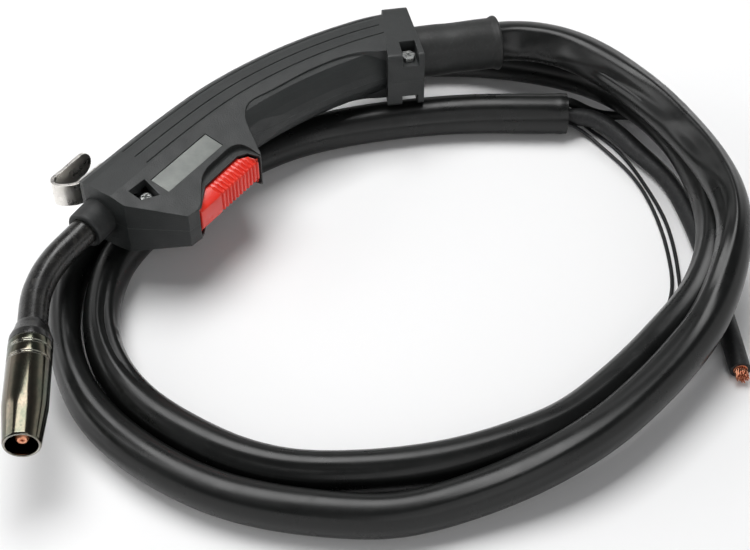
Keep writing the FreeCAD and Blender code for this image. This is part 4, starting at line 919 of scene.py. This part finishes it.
def build_trigger():
    """Sections along the outer face, with ribs cut over it, and a hub round the pivot."""
    length = np.linalg.norm(FACE_END - FACE_START)
    along_dir = (FACE_END - FACE_START) / length
    inward_dir = np.array([-along_dir[1], along_dir[0]])
    back = sorted(((np.array(p) - FACE_START) @ along_dir, (np.array(p) - FACE_START) @ inward_dir)
                  for p in TRIGGER_BACK)
    back = [(0.0, 1.2)] + [p for p in back if 0.2 < p[0] < length - 0.2] + [(length, 0.9)]
    back_along, back_depth = np.array(back).T
    cuts = np.concatenate([[0.0, 0.15, 0.4], np.arange(0.7, length - 0.6, 0.17),
                           [length - 0.4, length - 0.15, length]])
    vertices = []
    for along in cuts:
        depth = max(0.8, float(np.interp(along, back_along, back_depth)))
        near_end = max(0.0, 1.0 - min(along, length - along) / 0.55) ** 2
        end_round = 0.55 * near_end
        outline = trigger_outline(depth, groove_share(along), end_round)
        for inward, z in outline:
            x, y = FACE_START + along_dir * along + inward_dir * inward
            vertices.append((x, y, MID_Z + z * (1.0 - 0.06 * end_round)))
    sides = len(outline)
    last = (len(cuts) - 1) * sides
    faces = grid_faces(len(cuts), sides)
    faces.append(tuple(reversed(range(sides))))
    faces.append(tuple(last + j for j in range(sides)))

    hub = len(vertices)
    for z in (-HUB_HALF, HUB_HALF):
        for radius in (HUB_RADIUS, HUB_BORE):
            for k in range(HUB_SIDES):
                angle = 2 * math.pi * k / HUB_SIDES
                vertices.append((PIVOT[0] + radius * math.cos(angle),
                                 PIVOT[1] + radius * math.sin(angle), MID_Z + z))
    out_low, in_low, out_top, in_top = (hub + i * HUB_SIDES for i in range(4))
    for a in range(HUB_SIDES):
        b = (a + 1) % HUB_SIDES
        faces += [(out_low + a, out_low + b, out_top + b, out_top + a),
                  (in_low + b, in_low + a, in_top + a, in_top + b),
                  (out_low + b, out_low + a, in_low + a, in_low + b),
                  (out_top + a, out_top + b, in_top + b, in_top + a)]
    trigger = add_mesh("trigger_ribbed", to_row(vertices), faces, MATERIALS["trigger_red"],
                       sharp=30)
    fix_normals(trigger)
    stand(trigger, "trigger", "trigger")


# ------------------------------------------------------------------ turned pieces
# Closed profiles: distance along the axis, radius.
RELIEF_PROFILE = (
    [(-12.0, 11.2), (-12.0, 13.9), (-8.6, 13.9), (-8.6, 13.0)]
    + [(-8.6 + i * 2.17, 13.0 - 0.005 * i) for i in range(1, 20)]
    + [(34.2, 12.9), (35.4, 13.5), (36.2, 13.95), (37.3, 13.95), (37.8, 13.4), (37.8, 11.8),
       (36.0, 11.2)]
    + [(36.0 - i * 4.0, 11.2) for i in range(1, 12)])
NOZZLE_PROFILE = [
    (0.0, 7.6), (0.0, 8.8), (0.35, 9.15), (3.3, 9.15), (3.65, 8.72), (4.55, 8.72), (4.9, 9.15),
    (9.3, 9.15), (9.65, 8.72), (10.55, 8.72), (10.9, 9.15), (31.0, 9.15), (33.2, 9.08),
    (36.0, 8.85), (50.3, 7.55), (51.0, 7.05), (51.0, 6.45), (50.4, 6.2), (33.0, 7.4),
    (12.0, 7.4), (10.5, 7.6),
]
TIP_PROFILE = [
    (17.0, 0.55), (17.0, 0.9), (15.25, 0.95), (15.2, 2.45), (20.1, 2.45), (20.12, 2.9),
    (21.0, 3.2), (45.0, 3.2), (47.6, 2.75), (48.7, 1.9), (48.8, 1.0), (48.2, 0.5),
]
INSULATOR_PROFILE = [
    (-10.6, 6.35), (-10.6, 6.9), (-8.6, 7.3), (-7.6, 7.5), (-3.4, 8.95), (-0.05, 9.1),
    (-0.05, 6.7), (9.0, 6.7), (9.0, 4.75), (-2.2, 4.75), (-2.2, 4.25), (-7.9, 4.25), (-7.9, 6.35),
]
COLLAR_PROFILE = [
    (0.0, 6.35), (0.0, 8.2), (0.8, 8.75), (6.0, 8.82), (13.0, 8.9), (19.5, 8.9), (19.5, 6.6),
    (12.6, 6.6), (12.6, 6.35),
]


def relief_bend(vertices):
    """Slight pinch and waves of the soft strain relief."""
    local = vertices - RELIEF_START[None]
    side_dir = left_of(RELIEF_DIR)
    along, side, z = local @ RELIEF_DIR, local @ side_dir, local[:, 2]
    angle = np.arctan2(z, side)
    radius = np.hypot(side, z)
    swell = (0.18 * np.sin(along / 5.0 + 2 * angle) * np.clip(along / 10.0, 0, 1)
             + 0.25 * np.cos(2 * angle + 0.6) * np.clip((along - 8) / 20.0, 0, 1))
    factor = (radius + swell) / np.maximum(radius, 1e-6)
    return (RELIEF_START[None] + RELIEF_DIR[None] * along[:, None]
            + side_dir[None] * (side * factor)[:, None] + UP[None] * (z * factor)[:, None])


def build_turned_pieces():
    relief_rubber = rubber("relief_rubber", tint=(0.0085, 0.0092, 0.0088), rough=(0.48, 0.6),
                           grain=1300, dust=0.18)
    relief = revolve("strain_relief", RELIEF_PROFILE, RELIEF_START, RELIEF_DIR, relief_rubber,
                     segments=120, corner=0.5, bend=relief_bend)
    stand(relief, "torch", "strain_relief_tube")
    nozzle = revolve("nozzle_cone", NOZZLE_PROFILE, NOZZLE_BASE, NOZZLE_DIR, nozzle_metal(),
                     segments=160, corner=0.22)
    stand(nozzle, "nozzle", "gas_nozzle")
    tip = revolve("tip_copper", TIP_PROFILE, NOZZLE_BASE, NOZZLE_DIR, MATERIALS["copper"],
                  segments=64, corner=0.3)
    stand(tip, "tip", "contact_tip")
    insulator = revolve("insulator_ring", INSULATOR_PROFILE, NOZZLE_BASE, NOZZLE_DIR,
                        MATERIALS["neck_black"], segments=96, corner=0.3)
    stand(insulator, "torch", "nozzle_insulator")
    collar = revolve("collar_sleeve", COLLAR_PROFILE, COLLAR_END, NECK_BACK,
                     MATERIALS["collar_rubber"], segments=96, corner=0.5)
    stand(collar, "torch", "neck_collar")


# ------------------------------------------------------------------ stage, lights, camera
def build_floor(half=6):
    pale = Material("floor_pale")
    pale.set(color=(0.94, 0.94, 0.94), rough=0.9, spec=0.1)
    corners = [(-half, -half, 0), (half, -half, 0), (half, half, 0), (-half, half, 0)]
    add_mesh("floor", corners, [(0, 1, 2, 3)], pale.data)


def area_light(name, location, width, height, power):
    """Rectangle light aimed at the origin; metres and watts."""
    light = bpy.data.lights.new(name, "AREA")
    light.energy = power
    light.shape = "RECTANGLE"
    light.size = width
    light.size_y = height
    ob = bpy.data.objects.new(name, light)
    ob.location = location
    ob.rotation_euler = (-Vector(location)).to_track_quat("-Z", "Y").to_euler()
    bpy.context.scene.collection.objects.link(ob)


def build_world():
    """Grey dome shaded by height."""
    # Ramp position and colour; the first two take the ramp's own elements.
    stops = [(0.0, (0.95, 0.95, 0.95, 1)), (0.62, (0.10, 0.10, 0.105, 1)),
             (0.25, (0.85, 0.85, 0.85, 1)), (0.42, (0.22, 0.22, 0.225, 1))]
    world = bpy.data.worlds.new("studio")
    bpy.context.scene.world = world
    world.use_nodes = True
    nodes, links = world.node_tree.nodes, world.node_tree.links
    background = nodes["Background"]
    coords = nodes.new("ShaderNodeTexCoord")
    split = nodes.new("ShaderNodeSeparateXYZ")
    ramp = nodes.new("ShaderNodeValToRGB")
    elements = ramp.color_ramp.elements
    for i, (position, color) in enumerate(stops):
        element = elements[i] if i < 2 else elements.new(position)
        element.position = position
        element.color = color
    links.new(coords.outputs["Generated"], split.inputs[0])
    links.new(split.outputs["Z"], ramp.inputs["Fac"])
    links.new(ramp.outputs["Color"], background.inputs["Color"])
    background.inputs["Strength"].default_value = 1.0


def build_camera(reach=459.62):
    """Looks down at 45 degrees from the -Y side; reach is both its height and its distance."""
    camera = bpy.data.cameras.new("camera")
    camera.lens = 67.2
    camera.sensor_width = 36.0
    camera.sensor_fit = "HORIZONTAL"
    camera.clip_start = 0.01
    camera.clip_end = 50
    ob = bpy.data.objects.new("camera", camera)
    ob.location = to_row((0, -reach, reach))
    ob.rotation_euler = (math.radians(45), 0, 0)
    scene = bpy.context.scene
    scene.collection.objects.link(ob)
    scene.camera = ob
    scene.view_settings.view_transform = "Standard"
    scene.view_settings.look = "None"


dress_cad_pieces()
build_sheath()
build_cable_jacket()
build_strands()
build_gas_hose()
build_leads()
build_trigger()
build_turned_pieces()
build_floor()
area_light("soft_top", location=(-0.25, 0.35, 1.25), width=1.1, height=0.8, power=17)
area_light("soft_front", location=(0.5, -1.3, 0.9), width=1.2, height=1.2, power=4.2)
area_light("soft_left", location=(-1.3, 0.1, 0.5), width=0.9, height=0.9, power=5)
build_world()
build_camera()
